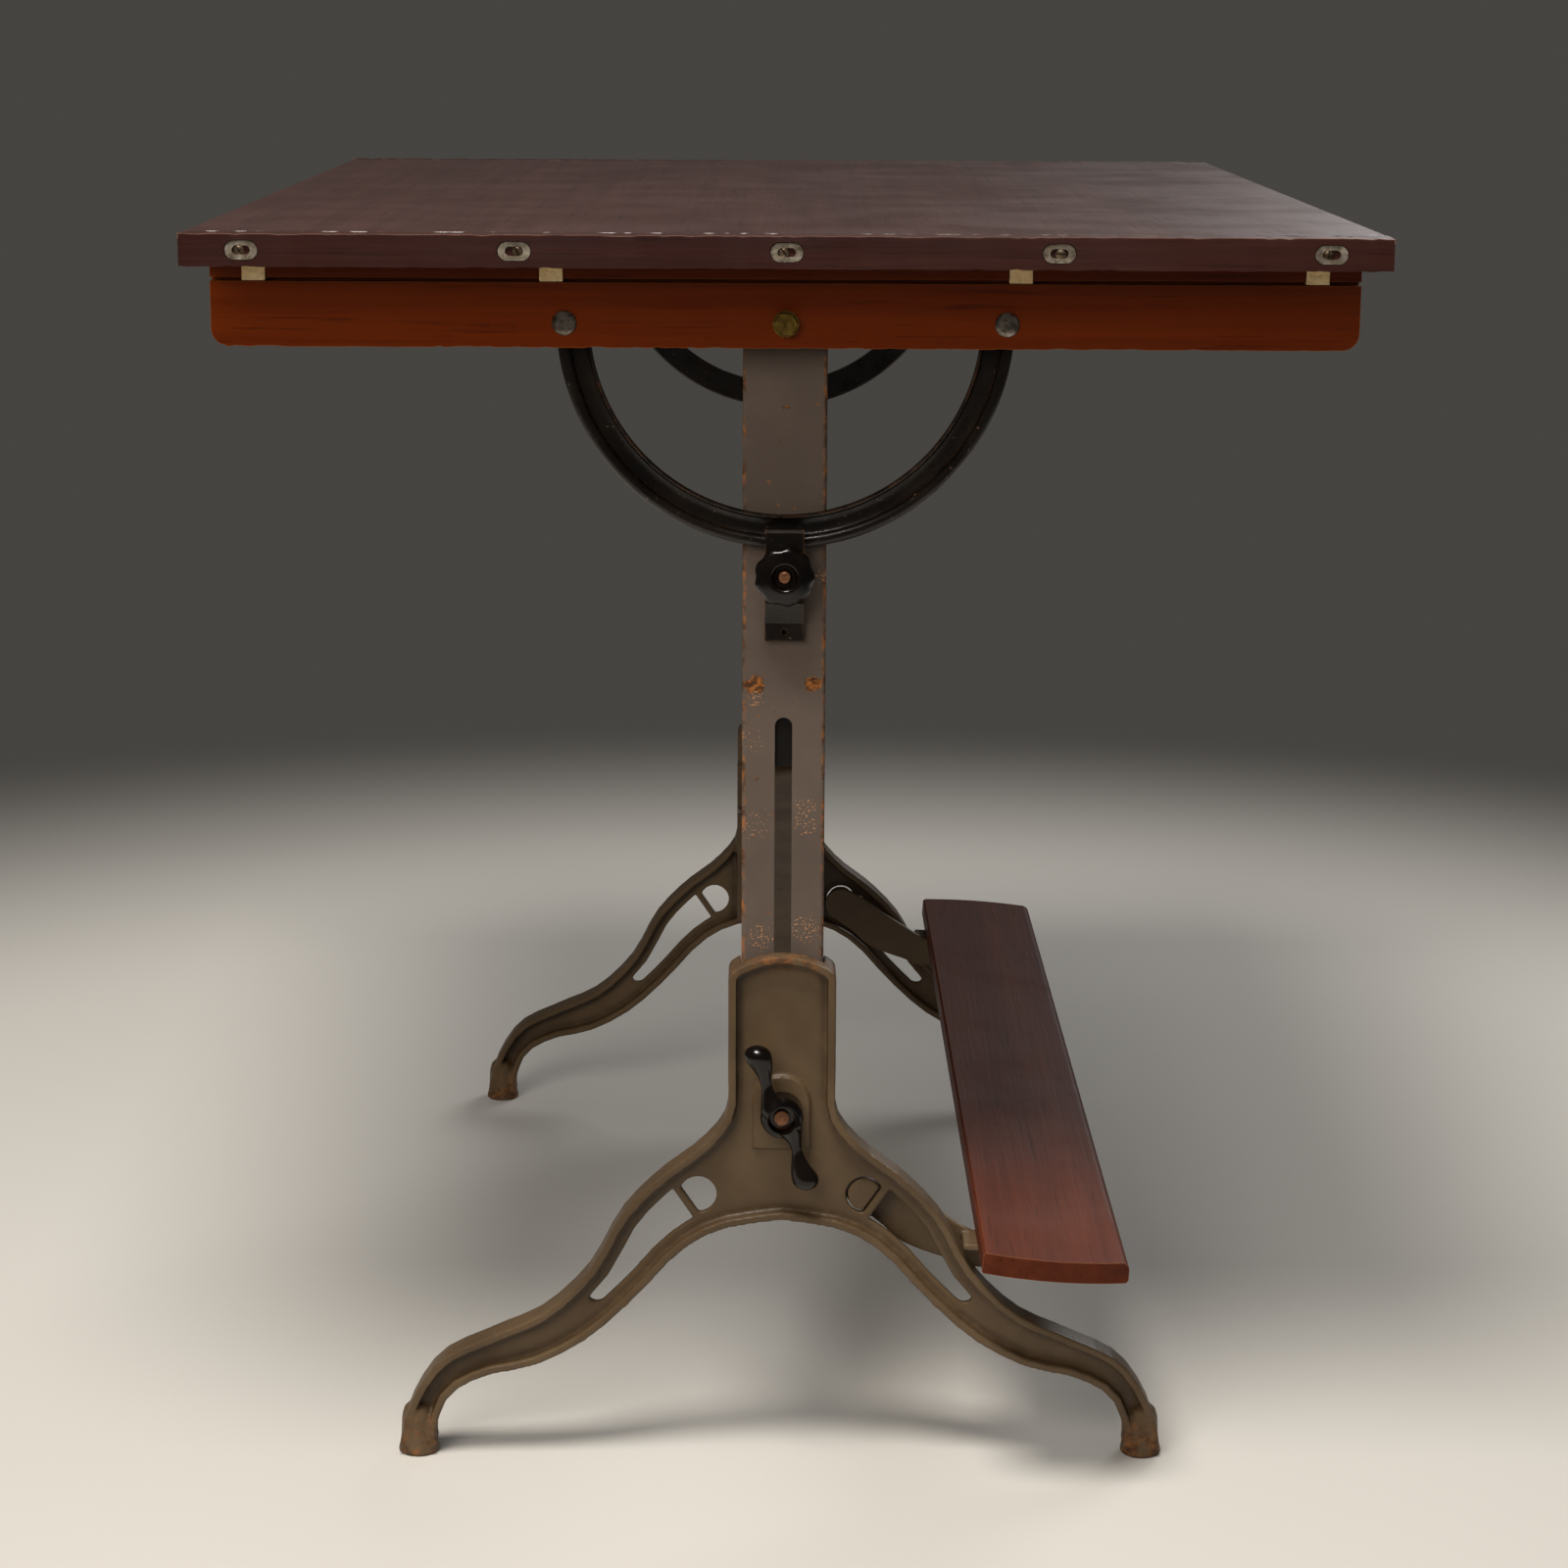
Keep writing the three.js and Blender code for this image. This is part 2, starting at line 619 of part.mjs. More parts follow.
function foot(side) {
  const r = FOOT.radius;
  const shaft = LEG.ankle / 2;
  const profile = [
    [0, 0],
    [r - 1, 0],
    [r, 1],
    [r, FOOT.sole],
    [shaft + 0.4, FOOT.neck],
    [shaft - 0.6, FOOT.neck + 8],
    [shaft - 1.4, FOOT.knuckle - 12],
    [shaft - 3.5, FOOT.knuckle - 5],
    [shaft - 8, FOOT.knuckle - 1],
    [0, FOOT.knuckle],
  ];
  const geometry = new THREE.LatheGeometry(profile.map(([x, y]) => new THREE.Vector2(x, y)), 18);
  geometry.rotateX(Math.PI / 2);
  geometry.translate((side * LEG.footSpan) / 2, -footOut, 0);
  return solid(geometry);
}

const bothSides = (body) => join(body, body.mirror([1, 0, 0]));

function legCasting() {
  const edge = castingOutline();
  const wide = LEG.footSpan;
  const high = LEG.arch + LEG.crown + 10;
  const web = plate(outline(edge), webIn, webOut);
  const rim = cut(plate(outline(edge), rimIn, rimOut), plate(outline(inset(edge, LEG.rim)), rimIn - 1, rimOut + 1));
  const column = block(guideHalf, LEG.column / 2, guideIn, webIn + 1, LEG.arch, high);
  const guides = plate(outline(edge), guideIn, webIn + 1).intersect(bothSides(column));
  const boss = plate(
    stadium(0, lockZ - LOCK.bossFoot, lockZ + LOCK.bossTop, LOCK.boss, false), webOut - 1, webOut + LOCK.bossOut);
  const body = join(web, rim, guides, boss, foot(1), foot(-1));
  const postWay = block(-guideHalf, guideHalf, guideIn - 1, webIn, -1, high);
  const windows = bothSides(windowCutter());
  const eyes = bothSides(eyeDisc(EYE.radius, EYE.flat, webIn - 1, webOut + 1));
  const bolt = round(0, lockZ, LOCK.bolt + 2 * GAP, webIn - 1, webOut + LOCK.bossOut + 1, 12);
  const screw = round(
    keeperScrewX, keeperMiddle(), KEEPER_SCREW.diameter + 2 * GAP, guideIn - 1, guideIn + KEEPER_SCREW.length, 8);
  const below = block(-wide, wide, rimIn - 10, rimOut + 10, -20, 0);
  return cut(body, postWay, windows, eyes, bolt, bothSides(screw), below);
}

// ---------------------------------------------------------------- height lock
const handleIn = webOut + LOCK.bossOut + GAP;
const handleFace = handleIn + HANDLE.length;

function clampPlate() {
  const out = postWebIn - GAP;
  const inner = out - CLAMP_PLATE.thickness;
  const half = CLAMP_PLATE.width / 2;
  const tall = CLAMP_PLATE.height / 2;
  const body = block(-half, half, inner, out, lockZ - tall, lockZ + tall);
  return cut(body, round(0, lockZ, LOCK.bolt + 2 * GAP, inner - 1, out + 1, 12));
}

function lockBolt() {
  const seat = postWebIn - GAP - CLAMP_PLATE.thickness - GAP;
  const head = plate(hexagon(0, lockZ, 1.5 * LOCK.bolt), seat - 8, seat);
  return join(head, round(0, lockZ, LOCK.bolt, seat - 1, handleFace - 3.5, 12));
}

// One arm of the lever: a neck that swells to a bulb, swept in a slight curve.
function handleArm() {
  const tip = HANDLE.arm + HANDLE.bulb;
  const profile = [
    [0, 0],
    [HANDLE.hub - 6, 0],
    [HANDLE.hub - 7, 0.16 * tip],
    [HANDLE.neck + 2, 0.32 * tip],
    [HANDLE.neck, 0.45 * tip],
    [HANDLE.neck + 1, 0.56 * tip],
    [0.8 * HANDLE.bulb, 0.7 * tip],
    [HANDLE.bulb, HANDLE.arm],
    [0.87 * HANDLE.bulb, HANDLE.arm + 0.5 * HANDLE.bulb],
    [0.5 * HANDLE.bulb, HANDLE.arm + 0.87 * HANDLE.bulb],
    [0, tip],
  ];
  const geometry = new THREE.LatheGeometry(profile.map(([x, y]) => new THREE.Vector2(x, y)), 12);
  const position = geometry.attributes.position;
  const sway = 3;
  for (let i = 0; i < position.count; i++) {
    const share = position.getY(i) / tip;
    position.setX(i, position.getX(i) - sway * Math.sin(2 * Math.PI * Math.min(share, 1)));
  }
  return geometry;
}

function lockHandle() {
  const armMiddle = rimOut + HANDLE.bulb + HANDLE.clearance;
  const lean = THREE.MathUtils.degToRad(HANDLE.lean);
  const arms = [0, Math.PI].map((half) => {
    const geometry = handleArm();
    geometry.rotateX(Math.PI / 2);
    geometry.rotateY(-lean + half);
    geometry.translate(0, -armMiddle, lockZ);
    return solid(geometry);
  });
  const hub = turned([
    [0, handleIn],
    [HANDLE.hub - 1, handleIn],
    [HANDLE.hub, handleIn + 1],
    [HANDLE.hub, handleFace - 4],
    [HANDLE.hub - 3, handleFace],
    [0, handleFace],
  ], 0, lockZ, 28);
  const above = handleFace + HANDLE.bulb;
  const counterbore = turned([
    [0, handleFace - 7],
    [HANDLE.counterbore - 2, handleFace - 7],
    [HANDLE.counterbore, above],
    [0, above],
  ], 0, lockZ, 24);
  const bore = round(0, lockZ, LOCK.bolt + 2 * GAP, handleIn - 1, above, 12);
  return cut(join(hub, ...arms), counterbore, bore);
}

// ---------------------------------------------------------------- stretcher and its keepers
function keeperMiddle() {
  return keeperBottom + KEEPER.height / 2;
}

// The plate that closes the back of the post's guide, with a tab for the stretcher.
function keeperPlate() {
  const half = LEG.column / 2;
  const top = keeperBottom + KEEPER.height;
  const tabX = stretcherX + STRETCHER.wall + GAP;
  const tabEdge = STRETCHER.wall + GAP;
  const body = block(-half, half, keeperIn, keeperOut, keeperBottom, top);
  const tab = block(
    tabX, tabX + KEEPER.tabWall, keeperIn - KEEPER.tab, keeperIn + 1, keeperBottom + tabEdge, top - tabEdge);
  const screw = round(
    keeperScrewX, keeperMiddle(), KEEPER_SCREW.diameter + 2 * GAP, keeperIn - 1, keeperOut + 1, 8);
  const bolts = stretcherBoltHeights().map((z) => stretcherBore(z));
  return cut(join(body, tab), bothSides(screw), ...bolts);
}

function keeperScrew(side) {
  const seat = keeperIn - GAP;
  const end = guideIn + KEEPER_SCREW.length - 1;
  const r = KEEPER_SCREW.diameter / 2;
  return turned([
    [0, seat - 3],
    [0.7 * KEEPER_SCREW.head / 2, seat - 3],
    [KEEPER_SCREW.head / 2, seat - 1],
    [KEEPER_SCREW.head / 2, seat],
    [r, seat],
    [r, end],
    [0, end],
  ], side * keeperScrewX, keeperMiddle(), 14);
}

function stretcherBoltHeights() {
  return [-1, 1].map((side) => keeperMiddle() + (side * STRETCHER_BOLT.pitch) / 2);
}

const stretcherBoltOut = keeperIn - KEEPER.tab / 2;

// A cylinder along X at the place of a stretcher bolt.
function alongX(shape, x0, x1, z) {
  const geometry = new THREE.ExtrudeGeometry(shape, { depth: x1 - x0, bevelEnabled: false, curveSegments: 8 });
  geometry.rotateY(Math.PI / 2);
  geometry.translate(x0, -stretcherBoltOut, z);
  return solid(geometry);
}

function stretcherBore(z) {
  return alongX(circle(0, 0, STRETCHER_BOLT.diameter / 2 + GAP), stretcherX - 1, 0, z);
}

function stretcherBolt(z) {
  const end = stretcherX + STRETCHER.wall + KEEPER.tabWall;
  const head = alongX(hexagon(0, 0, STRETCHER_BOLT.hex), stretcherX - GAP - STRETCHER_BOLT.head, stretcherX - GAP, z);
  return join(head, alongX(circle(0, 0, STRETCHER_BOLT.diameter / 2), stretcherX - GAP - 1, end, z));
}

function stretcher() {
  const top = keeperBottom + KEEPER.height;
  const beam = channelBeam(stretcherX, STRETCHER.width, STRETCHER.wall, keeperBottom, top, keeperIn - GAP);
  const bores = stretcherBoltHeights().map((z) => stretcherBore(z));
  return cut(beam, ...bores, ...bores.map((bore) => bore.mirror([0, 1, 0])));
}

// ---------------------------------------------------------------- foot rest
// The rest's own frame: x runs across its board from the inner edge, z is square to its underside.
function restFrame() {
  const frame = new THREE.Group();
  frame.position.set(REST.x, 0, REST.z);
  frame.rotation.y = THREE.MathUtils.degToRad(REST.slope);
  frame.updateMatrixWorld(true);
  return frame;
}

const rest = restFrame();
const flangeOut = armIn + ARM.flange;
const restScrewOut = (armIn + ARM.thickness + flangeOut) / 2;

function restScrewHoles(z0, z1, diameter) {
  return [REST_SCREW.inner, REST_SCREW.outer].map((x) => restPin(x, z0, z1, diameter));
}

// A cylinder along the rest's own z.
function restPin(x, z0, z1, diameter) {
  const geometry = new THREE.CylinderGeometry(diameter / 2, diameter / 2, z1 - z0, 14);
  geometry.rotateX(Math.PI / 2);
  geometry.translate(x, -restScrewOut, (z0 + z1) / 2);
  return solid(geometry);
}

function footRestBoard() {
  const round = 7;
  const section = new THREE.Shape();
  section.moveTo(0, 1);
  section.lineTo(1, 0);
  section.lineTo(REST.width - 2, 0);
  section.lineTo(REST.width, 2);
  section.absarc(REST.width - round, REST.thickness - round, round, 0, Math.PI / 2);
  section.lineTo(2, REST.thickness);
  section.lineTo(0, REST.thickness - 2);
  const long = plate(section, -REST.length / 2 - REST.bow, REST.length / 2 + REST.bow, 5);
  const plan = new THREE.Shape();
  const corner = REST.length / 2;
  plan.moveTo(-1, -corner);
  plan.quadraticCurveTo(REST.width / 2, -corner - 2 * REST.bow, REST.width + 1, -corner);
  plan.lineTo(REST.width + 1, corner);
  plan.quadraticCurveTo(REST.width / 2, corner + 2 * REST.bow, -1, corner);
  const geometry = new THREE.ExtrudeGeometry(plan, { depth: 40, bevelEnabled: false, curveSegments: 10 });
  geometry.translate(0, 0, -10);
  const holes = restScrewHoles(-1, REST_SCREW.length - ARM.flangeWall, REST_SCREW.diameter + 2 * GAP);
  return cut(long.intersect(solid(geometry)), ...holes, ...holes.map((hole) => hole.mirror([0, 1, 0])));
}

function restScrew(x) {
  const seat = -2 * GAP - ARM.flangeWall;
  const tip = REST_SCREW.length - ARM.flangeWall - 1;
  const head = restPin(x, seat - REST_SCREW.headHeight, seat, REST_SCREW.head);
  return join(head, restPin(x, seat - 1, tip, REST_SCREW.diameter));
}

// The arm: a stub that fills the casting's eye, a plate behind the leg and a flange for the board.
function footRestArm() {
  const { centre } = eyePlace();
  const end = REST.width * 0.84;
  const slope = Math.tan(THREE.MathUtils.degToRad(REST.slope));
  const under = (x) => REST.z - GAP - (x - REST.x) * slope;
  const far = REST.x + end;
  const top = new THREE.SplineCurve([
    new THREE.Vector2(centre.x + 9, centre.y + 14.4),
    new THREE.Vector2(centre.x + 23, centre.y + 6.5),
    new THREE.Vector2(centre.x + 45, centre.y - 9),
    new THREE.Vector2(REST.x - 26, under(REST.x) + 15),
    new THREE.Vector2(REST.x - 14, under(REST.x) + 7),
    new THREE.Vector2(REST.x, under(REST.x) - 1),
  ]);
  const bottom = new THREE.SplineCurve([
    new THREE.Vector2(REST.x + 8, under(REST.x) - 31),
    new THREE.Vector2(REST.x - 12, under(REST.x) - 29),
    new THREE.Vector2(centre.x + 72, centre.y - 62.5),
    new THREE.Vector2(centre.x + 49, centre.y - 54.5),
    new THREE.Vector2(centre.x + 29, centre.y - 45),
    new THREE.Vector2(centre.x + 13, centre.y - 30),
    new THREE.Vector2(centre.x - 9, centre.y - 14.4),
  ]);
  const side = [
    ...asPairs(top.getPoints(12)),
    [far, under(far) - 1],
    [far, under(far) - 10],
    ...asPairs(bottom.getPoints(16)),
  ].reverse();
  const boss = round(centre.x, centre.y, 2 * ARM.end, armIn, armOut, 14);
  const stub = eyeDisc(EYE.radius - ARM.stubGap, EYE.flat - ARM.stubGap, armOut - 1, webOut - 0.5);
  const flangeShape = rectangle(-REST.x + legEdgeX() + 3, end, -GAP - ARM.flangeWall, -GAP);
  const flange = plate(flangeShape, armIn, flangeOut);
  const holes = restScrewHoles(-10, 1, REST_SCREW.diameter + 2 * GAP);
  const placed = cut(flange, ...holes).transform(rest.matrixWorld.elements);
  const heads = holes.map((hole) => hole.transform(rest.matrixWorld.elements));
  return cut(join(plate(outline(side), armIn, armOut), boss, stub, placed), ...heads);
}

// How far out the leg's upper edge lies where the rest's flange passes it.
function legEdgeX() {
  const { upper } = legCurves();
  const height = REST.z - 6;
  const point = upper.getPoints(200).find((p) => p.y < height);
  return point.x;
}

// ---------------------------------------------------------------- putting it together
put("board_panel", boardPanel(), "board");
putAtEnds("end_cleat", cleat(), "board");
putAtEnds("batten", batten(), "batten");
[-CLIP.outer, -CLIP.inner, CLIP.inner, CLIP.outer].forEach((x, i) =>
  putAtEnds(`board_clip_${i + 1}`, clip(x), "brass"));
putAtEnds("tilt_arc", tiltArc(), "arc");
[-1, 1].forEach((side, i) => putAtEnds(`arc_bolt_${i + 1}`, arcBolt(side * arcBoltX()), "steel"));

putAtEnds("post", post(), "post");
put("cross_rail", crossRail(), "post");
putAtEnds("pivot_bolt", pivotBolt(), "brass");
putAtEnds("pivot_spacer", pivotSpacer(), "steel");
putAtEnds("pivot_nut", pivotNut(), "steel");
putAtEnds("clamp_strap", clampStrap(), "arc");
putAtEnds("clamp_stud", clampStud(), "steel");
putAtEnds("tilt_knob", tiltKnob(), "handle");

putAtEnds("leg_casting", legCasting(), "casting");
putAtEnds("clamp_plate", clampPlate(), "steel");
putAtEnds("lock_bolt", lockBolt(), "steel");
putAtEnds("lock_handle", lockHandle(), "handle");
putMirrored("guide_keeper", keeperPlate(), "casting");
[-1, 1].forEach((side, i) => putAtEnds(`keeper_screw_${i + 1}`, keeperScrew(side), "steel"));
put("stretcher", stretcher(), "casting");
stretcherBoltHeights().forEach((z, i) => putMirrored(`stretcher_bolt_${i + 1}`, stretcherBolt(z), "steel"));

table.add(rest);
put("foot_rest_board", footRestBoard(), "rest", rest);
putMirrored("foot_rest_arm", footRestArm(), "casting");
[REST_SCREW.inner, REST_SCREW.outer].forEach((x, i) =>
  putMirrored(`foot_rest_screw_${i + 1}`, restScrew(x), "steel", rest));

export default table;
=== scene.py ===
# %% [markdown]
# # A cast-iron drafting table
# This lesson finishes a drafting table: a wide stained board that tilts on two iron half rings, two pressed
# steel posts that slide in cast-iron legs, and a foot rest along one side.
# The shapes and sizes come from a fixed frame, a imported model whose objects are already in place, in metres,
# with +Z up. Nothing here moves them. Each cell takes one piece or one finish: it copies the frame's plain
# mesh, or builds a finer one in the same space, and gives it a material.

# %% Load the fixed frame
import json
import math
import random

import bmesh
import bpy
from mathutils import Matrix, Vector

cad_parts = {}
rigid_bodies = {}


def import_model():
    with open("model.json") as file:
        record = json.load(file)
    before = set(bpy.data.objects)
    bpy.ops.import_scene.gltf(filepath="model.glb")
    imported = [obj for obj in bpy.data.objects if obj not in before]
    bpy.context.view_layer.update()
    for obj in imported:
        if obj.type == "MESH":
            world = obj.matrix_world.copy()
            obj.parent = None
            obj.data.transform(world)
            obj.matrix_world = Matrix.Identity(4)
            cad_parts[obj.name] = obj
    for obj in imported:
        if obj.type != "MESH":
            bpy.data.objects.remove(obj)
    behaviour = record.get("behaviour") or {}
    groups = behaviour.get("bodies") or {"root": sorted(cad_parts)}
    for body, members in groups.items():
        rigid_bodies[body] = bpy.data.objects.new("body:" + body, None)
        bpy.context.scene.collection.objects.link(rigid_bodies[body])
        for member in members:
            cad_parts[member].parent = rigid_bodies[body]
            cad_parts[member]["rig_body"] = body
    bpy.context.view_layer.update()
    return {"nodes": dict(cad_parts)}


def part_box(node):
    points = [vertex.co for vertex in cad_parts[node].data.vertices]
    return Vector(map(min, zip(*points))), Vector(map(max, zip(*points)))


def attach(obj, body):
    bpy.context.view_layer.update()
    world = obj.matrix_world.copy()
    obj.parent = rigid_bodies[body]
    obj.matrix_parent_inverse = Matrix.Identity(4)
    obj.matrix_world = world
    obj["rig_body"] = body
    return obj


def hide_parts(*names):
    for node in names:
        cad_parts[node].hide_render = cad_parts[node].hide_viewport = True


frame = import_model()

MM = 0.001
nodes = frame["nodes"]

# %% [markdown]
# ## The camera
# A camera that stands well back with a long lens keeps the upright lines of furniture nearly parallel. It is
# placed by given angles: how far it looks down, how far it turns, and a trace of roll. The three axes
# of its matrix are built from those angles, because a camera in Blender looks along its own -Z.

# %% Camera
CAMERA_PLACE = Vector((-0.0162, -3.3555, 1.2030))
LOOK_DOWN, LOOK_RIGHT, ROLL = 0.21654, 0.005868, 0.005123
LENS_MM = 83.26


def camera_axes(down, right, roll):
    """The camera's right, up and forward directions."""
    forward = Vector((math.sin(right) * math.cos(down), math.cos(right) * math.cos(down), -math.sin(down)))
    level = Vector((math.cos(right), -math.sin(right), 0))
    upright = level.cross(forward)
    return (
        math.cos(roll) * level + math.sin(roll) * upright,
        math.cos(roll) * upright - math.sin(roll) * level,
        forward,
    )


def add_camera():
    data = bpy.data.cameras.new("camera")
    data.lens = LENS_MM
    data.sensor_width = 36
    camera = bpy.data.objects.new("camera", data)
    bpy.context.scene.collection.objects.link(camera)
    across, upright, forward = camera_axes(LOOK_DOWN, LOOK_RIGHT, ROLL)
    turn = Matrix((across, upright, -forward)).transposed().to_4x4()
    camera.matrix_world = Matrix.Translation(CAMERA_PLACE) @ turn
    bpy.context.scene.camera = camera


add_camera()
bpy.context.scene.view_settings.view_transform = "Standard"
print("camera", round(CAMERA_PLACE.length, 2), "m from the origin")

# %% [markdown]
# ## A short way to write materials
# A procedural material is a tree of small nodes, and most trees repeat the same few: stretched noise, a
# range that turns noise into a mask, a mix of two colours, and masks for edges and corners. A small class
# with one method for each keeps the finishes below readable.
# Every pattern reads Object coordinates. The pieces all sit at the origin, so a pattern stays on its piece
# when the table moves, and it is in metres, so a scale of 200 means features of about 5 mm.
# The edge mask compares the true normal with the one that the Bevel node would give, and the corner mask
# is ambient occlusion: both follow the shape, so wear lands where hands and dirt reach.

# %% The finish helper
class Finish:
    """A material under construction."""

    def __init__(self, name):
        self.material = bpy.data.materials.new(name)
        self.material.use_nodes = True
        self.tree = self.material.node_tree
        self.shader = self.tree.nodes["Principled BSDF"]
        self.place = self.node("ShaderNodeTexCoord").outputs["Object"]

    def feed(self, socket, value):
        """Links a socket, or sets its value."""
        if isinstance(value, bpy.types.NodeSocket):
            self.tree.links.new(value, socket)
        elif socket.type == "RGBA":
            socket.default_value = (*value, 1)
        else:
            socket.default_value = value

    def node(self, kind, inputs=None, **settings):
        made = self.tree.nodes.new(kind)
        for key, value in settings.items():
            setattr(made, key, value)
        for key, value in (inputs or {}).items():
            self.feed(made.inputs[key], value)
        return made

    def noise(self, scale, detail=4.0, stretch=(1, 1, 1), warp=0.0, rough=0.55):
        place = self.node("ShaderNodeMapping", {"Vector": self.place, "Scale": stretch})
        values = {"Vector": place.outputs[0], "Scale": scale, "Detail": detail}
        values.update({"Distortion": warp, "Roughness": rough})
        return self.node("ShaderNodeTexNoise", values).outputs["Fac"]

    def axis(self, letter):
        return self.node("ShaderNodeSeparateXYZ", {0: self.place}).outputs[letter]

    def maths(self, operation, first, second=0.0):
        return self.node("ShaderNodeMath", {0: first, 1: second}, operation=operation).outputs[0]

    def times(self, first, *others):
        for other in others:
            first = self.maths("MULTIPLY", first, other)
        return first

    def most(self, first, *others):
        for other in others:
            first = self.maths("MAXIMUM", first, other)
        return first

    def mask(self, value, low, high, to_low=0.0, to_high=1.0):
        """A smooth step from low to high. With low above high, the mask is full at the low values."""
        values = {"Value": value, "From Min": low, "From Max": high, "To Min": to_low, "To Max": to_high}
        return self.node("ShaderNodeMapRange", values, interpolation_type="SMOOTHSTEP").outputs["Result"]

    def mix(self, share, first, second):
        made = self.node("ShaderNodeMix", data_type="RGBA")
        for index, value in ((0, share), (6, first), (7, second)):
            self.feed(made.inputs[index], value)
        return made.outputs[2]

    def edges(self, radius, low=0.985, high=0.86):
        rounded = self.node("ShaderNodeBevel", {"Radius": radius}, samples=6).outputs["Normal"]
        true = self.node("ShaderNodeNewGeometry").outputs["Normal"]
        match = self.node("ShaderNodeVectorMath", {0: rounded, 1: true}, operation="DOT_PRODUCT")
        return self.mask(match.outputs["Value"], low, high)

    def corners(self, reach, low=0.8, high=0.45):
        shade = self.node("ShaderNodeAmbientOcclusion", {"Distance": reach}, samples=8, only_local=True)
        return self.mask(shade.outputs["AO"], low, high)

    def spot(self, x, z, radius):
        """A soft round mask about a place in X and Z, on both ends of the table."""
        parts = self.node("ShaderNodeSeparateXYZ", {0: self.place}).outputs
        across = self.maths("SUBTRACT", parts["X"], x)
        upright = self.maths("SUBTRACT", parts["Z"], z)
        squares = self.maths("ADD", self.times(across, across), self.times(upright, upright))
        return self.mask(self.maths("SQRT", squares), radius, 0.35 * radius)

    def bump(self, height, depth, strength):
        made = self.node("ShaderNodeBump", {"Height": height, "Distance": depth, "Strength": strength})
        self.feed(self.shader.inputs["Normal"], made.outputs["Normal"])

    def size_of(self, letter):
        """The distance from the middle plane across an axis."""
        return self.maths("ABSOLUTE", self.axis(letter))

    def between(self, value, low, high, fade):
        """A mask that is full from low to high and fades out just past each."""
        return self.times(self.mask(value, high, high - fade), self.mask(value, low - fade, low))

    def done(self, colour, roughness, **uniform):
        """Feeds the shader. Uniform values, such as a coat, go straight on its own sockets."""
        self.feed(self.shader.inputs["Base Color"], colour)
        self.feed(self.shader.inputs["Roughness"], roughness)
        for name, value in uniform.items():
            self.shader.inputs[name.replace("_", " ")].default_value = value
        print("finish:", self.material.name, "with", len(self.tree.nodes), "nodes")
        return self.material


# %% [markdown]
# ## Stained and varnished wood
# Wood is a bundle of long fibres, so its pattern is noise squeezed hard across the grain and stretched along
# it. Three sizes are laid over each other: broad bands of colour from the growth rings, fine streaks, and
# short dark pores that also dent the surface. A flat texture would tile and would need a map; noise in
# three dimensions also gives the right end grain, because the streaks run through the solid.
# The varnish is the shader's coat, even all over; where hands have worn the arrises, the colour is lighter.

# %% Wood finish
RING_SCALE, STREAK_SCALE, PORE_SCALE = 14.0, 70.0, 330.0


def wood(name, along, dark, warm, worn, rough, worn_above=0.0, planks=None, coat=0.12, shine=0.35):
    """Wood with its grain along "x" or "y". Its edges are worn above a height. Planks is the width of the
    glued strips across the grain. Rough is the roughness where the varnish is best."""
    finish = Finish(name)
    squeeze = lambda share: (share, 1, 1) if along == "x" else (1, share, 1)
    rings = finish.noise(RING_SCALE, 3, squeeze(0.05), warp=0.6)
    streaks = finish.noise(STREAK_SCALE, 5, squeeze(0.022), rough=0.62)
    pores = finish.noise(PORE_SCALE, 2, squeeze(0.03))
    blotch = finish.noise(3.2, 3)
    tone = finish.maths("ADD", finish.times(rings, 0.45), finish.times(streaks, 0.55))
    colour = finish.mix(finish.mask(tone, 0.3, 0.7), dark, warm)
    if planks:
        across = finish.axis("Y" if along == "x" else "X")
        strip = finish.maths("FLOOR", finish.maths("DIVIDE", across, planks))
        tint = finish.node("ShaderNodeTexWhiteNoise", {"W": strip}, noise_dimensions="1D").outputs["Value"]
        colour = finish.mix(finish.mask(tint, 0.0, 1.0, 0.0, 0.45), colour, dark)
    colour = finish.mix(finish.mask(blotch, 0.45, 0.75, 0.0, 0.35), colour, dark)
    colour = finish.mix(finish.mask(pores, 0.6, 0.7, 0.0, 0.45), colour, [0.3 * c for c in dark])
    uneven = finish.mask(finish.noise(45, 4), 0.25, 0.5, 0.5, 1.0)
    rubbed = finish.times(finish.edges(0.0013), uneven)
    if worn_above:
        rubbed = finish.times(rubbed, finish.mask(finish.axis("Z"), worn_above - 0.001, worn_above))
    colour = finish.mix(finish.times(rubbed, 0.9), colour, worn)
    roughness = finish.mask(finish.noise(9, 4), 0.3, 0.7, rough - 0.05, rough + 0.1)
    finish.bump(finish.maths("SUBTRACT", finish.times(streaks, 0.5), finish.times(pores, 0.6)), 0.0007, 0.45)
    return finish.done(colour, roughness, Specular_IOR_Level=shine, Coat_Weight=coat, Coat_Roughness=0.16)


ARRIS_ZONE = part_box("board_panel")[1].z - 3.5 * MM
PLANK_WIDTH = 0.148
board_wood = wood(
    "board_wood", "y", (0.027, 0.0088, 0.0072), (0.043, 0.0148, 0.0115), (0.22, 0.085, 0.055), 0.38,
    worn_above=ARRIS_ZONE, planks=PLANK_WIDTH, coat=0.2, shine=0.5,
)
cleat_wood = wood(
    "cleat_wood", "x", (0.014, 0.0032, 0.0024), (0.034, 0.0088, 0.006), (0.26, 0.12, 0.08), 0.46,
    worn_above=ARRIS_ZONE,
)
batten_wood = wood(
    "batten_wood", "x", (0.078, 0.0098, 0.0001), (0.138, 0.0195, 0.0002), (0.22, 0.06, 0.008), 0.5,
    coat=0.02, shine=0.2,
)
rest_wood = wood(
    "rest_wood", "y", (0.05, 0.0098, 0.003), (0.09, 0.0185, 0.0058), (0.24, 0.085, 0.034), 0.55,
    coat=0.0, shine=0.14,
)
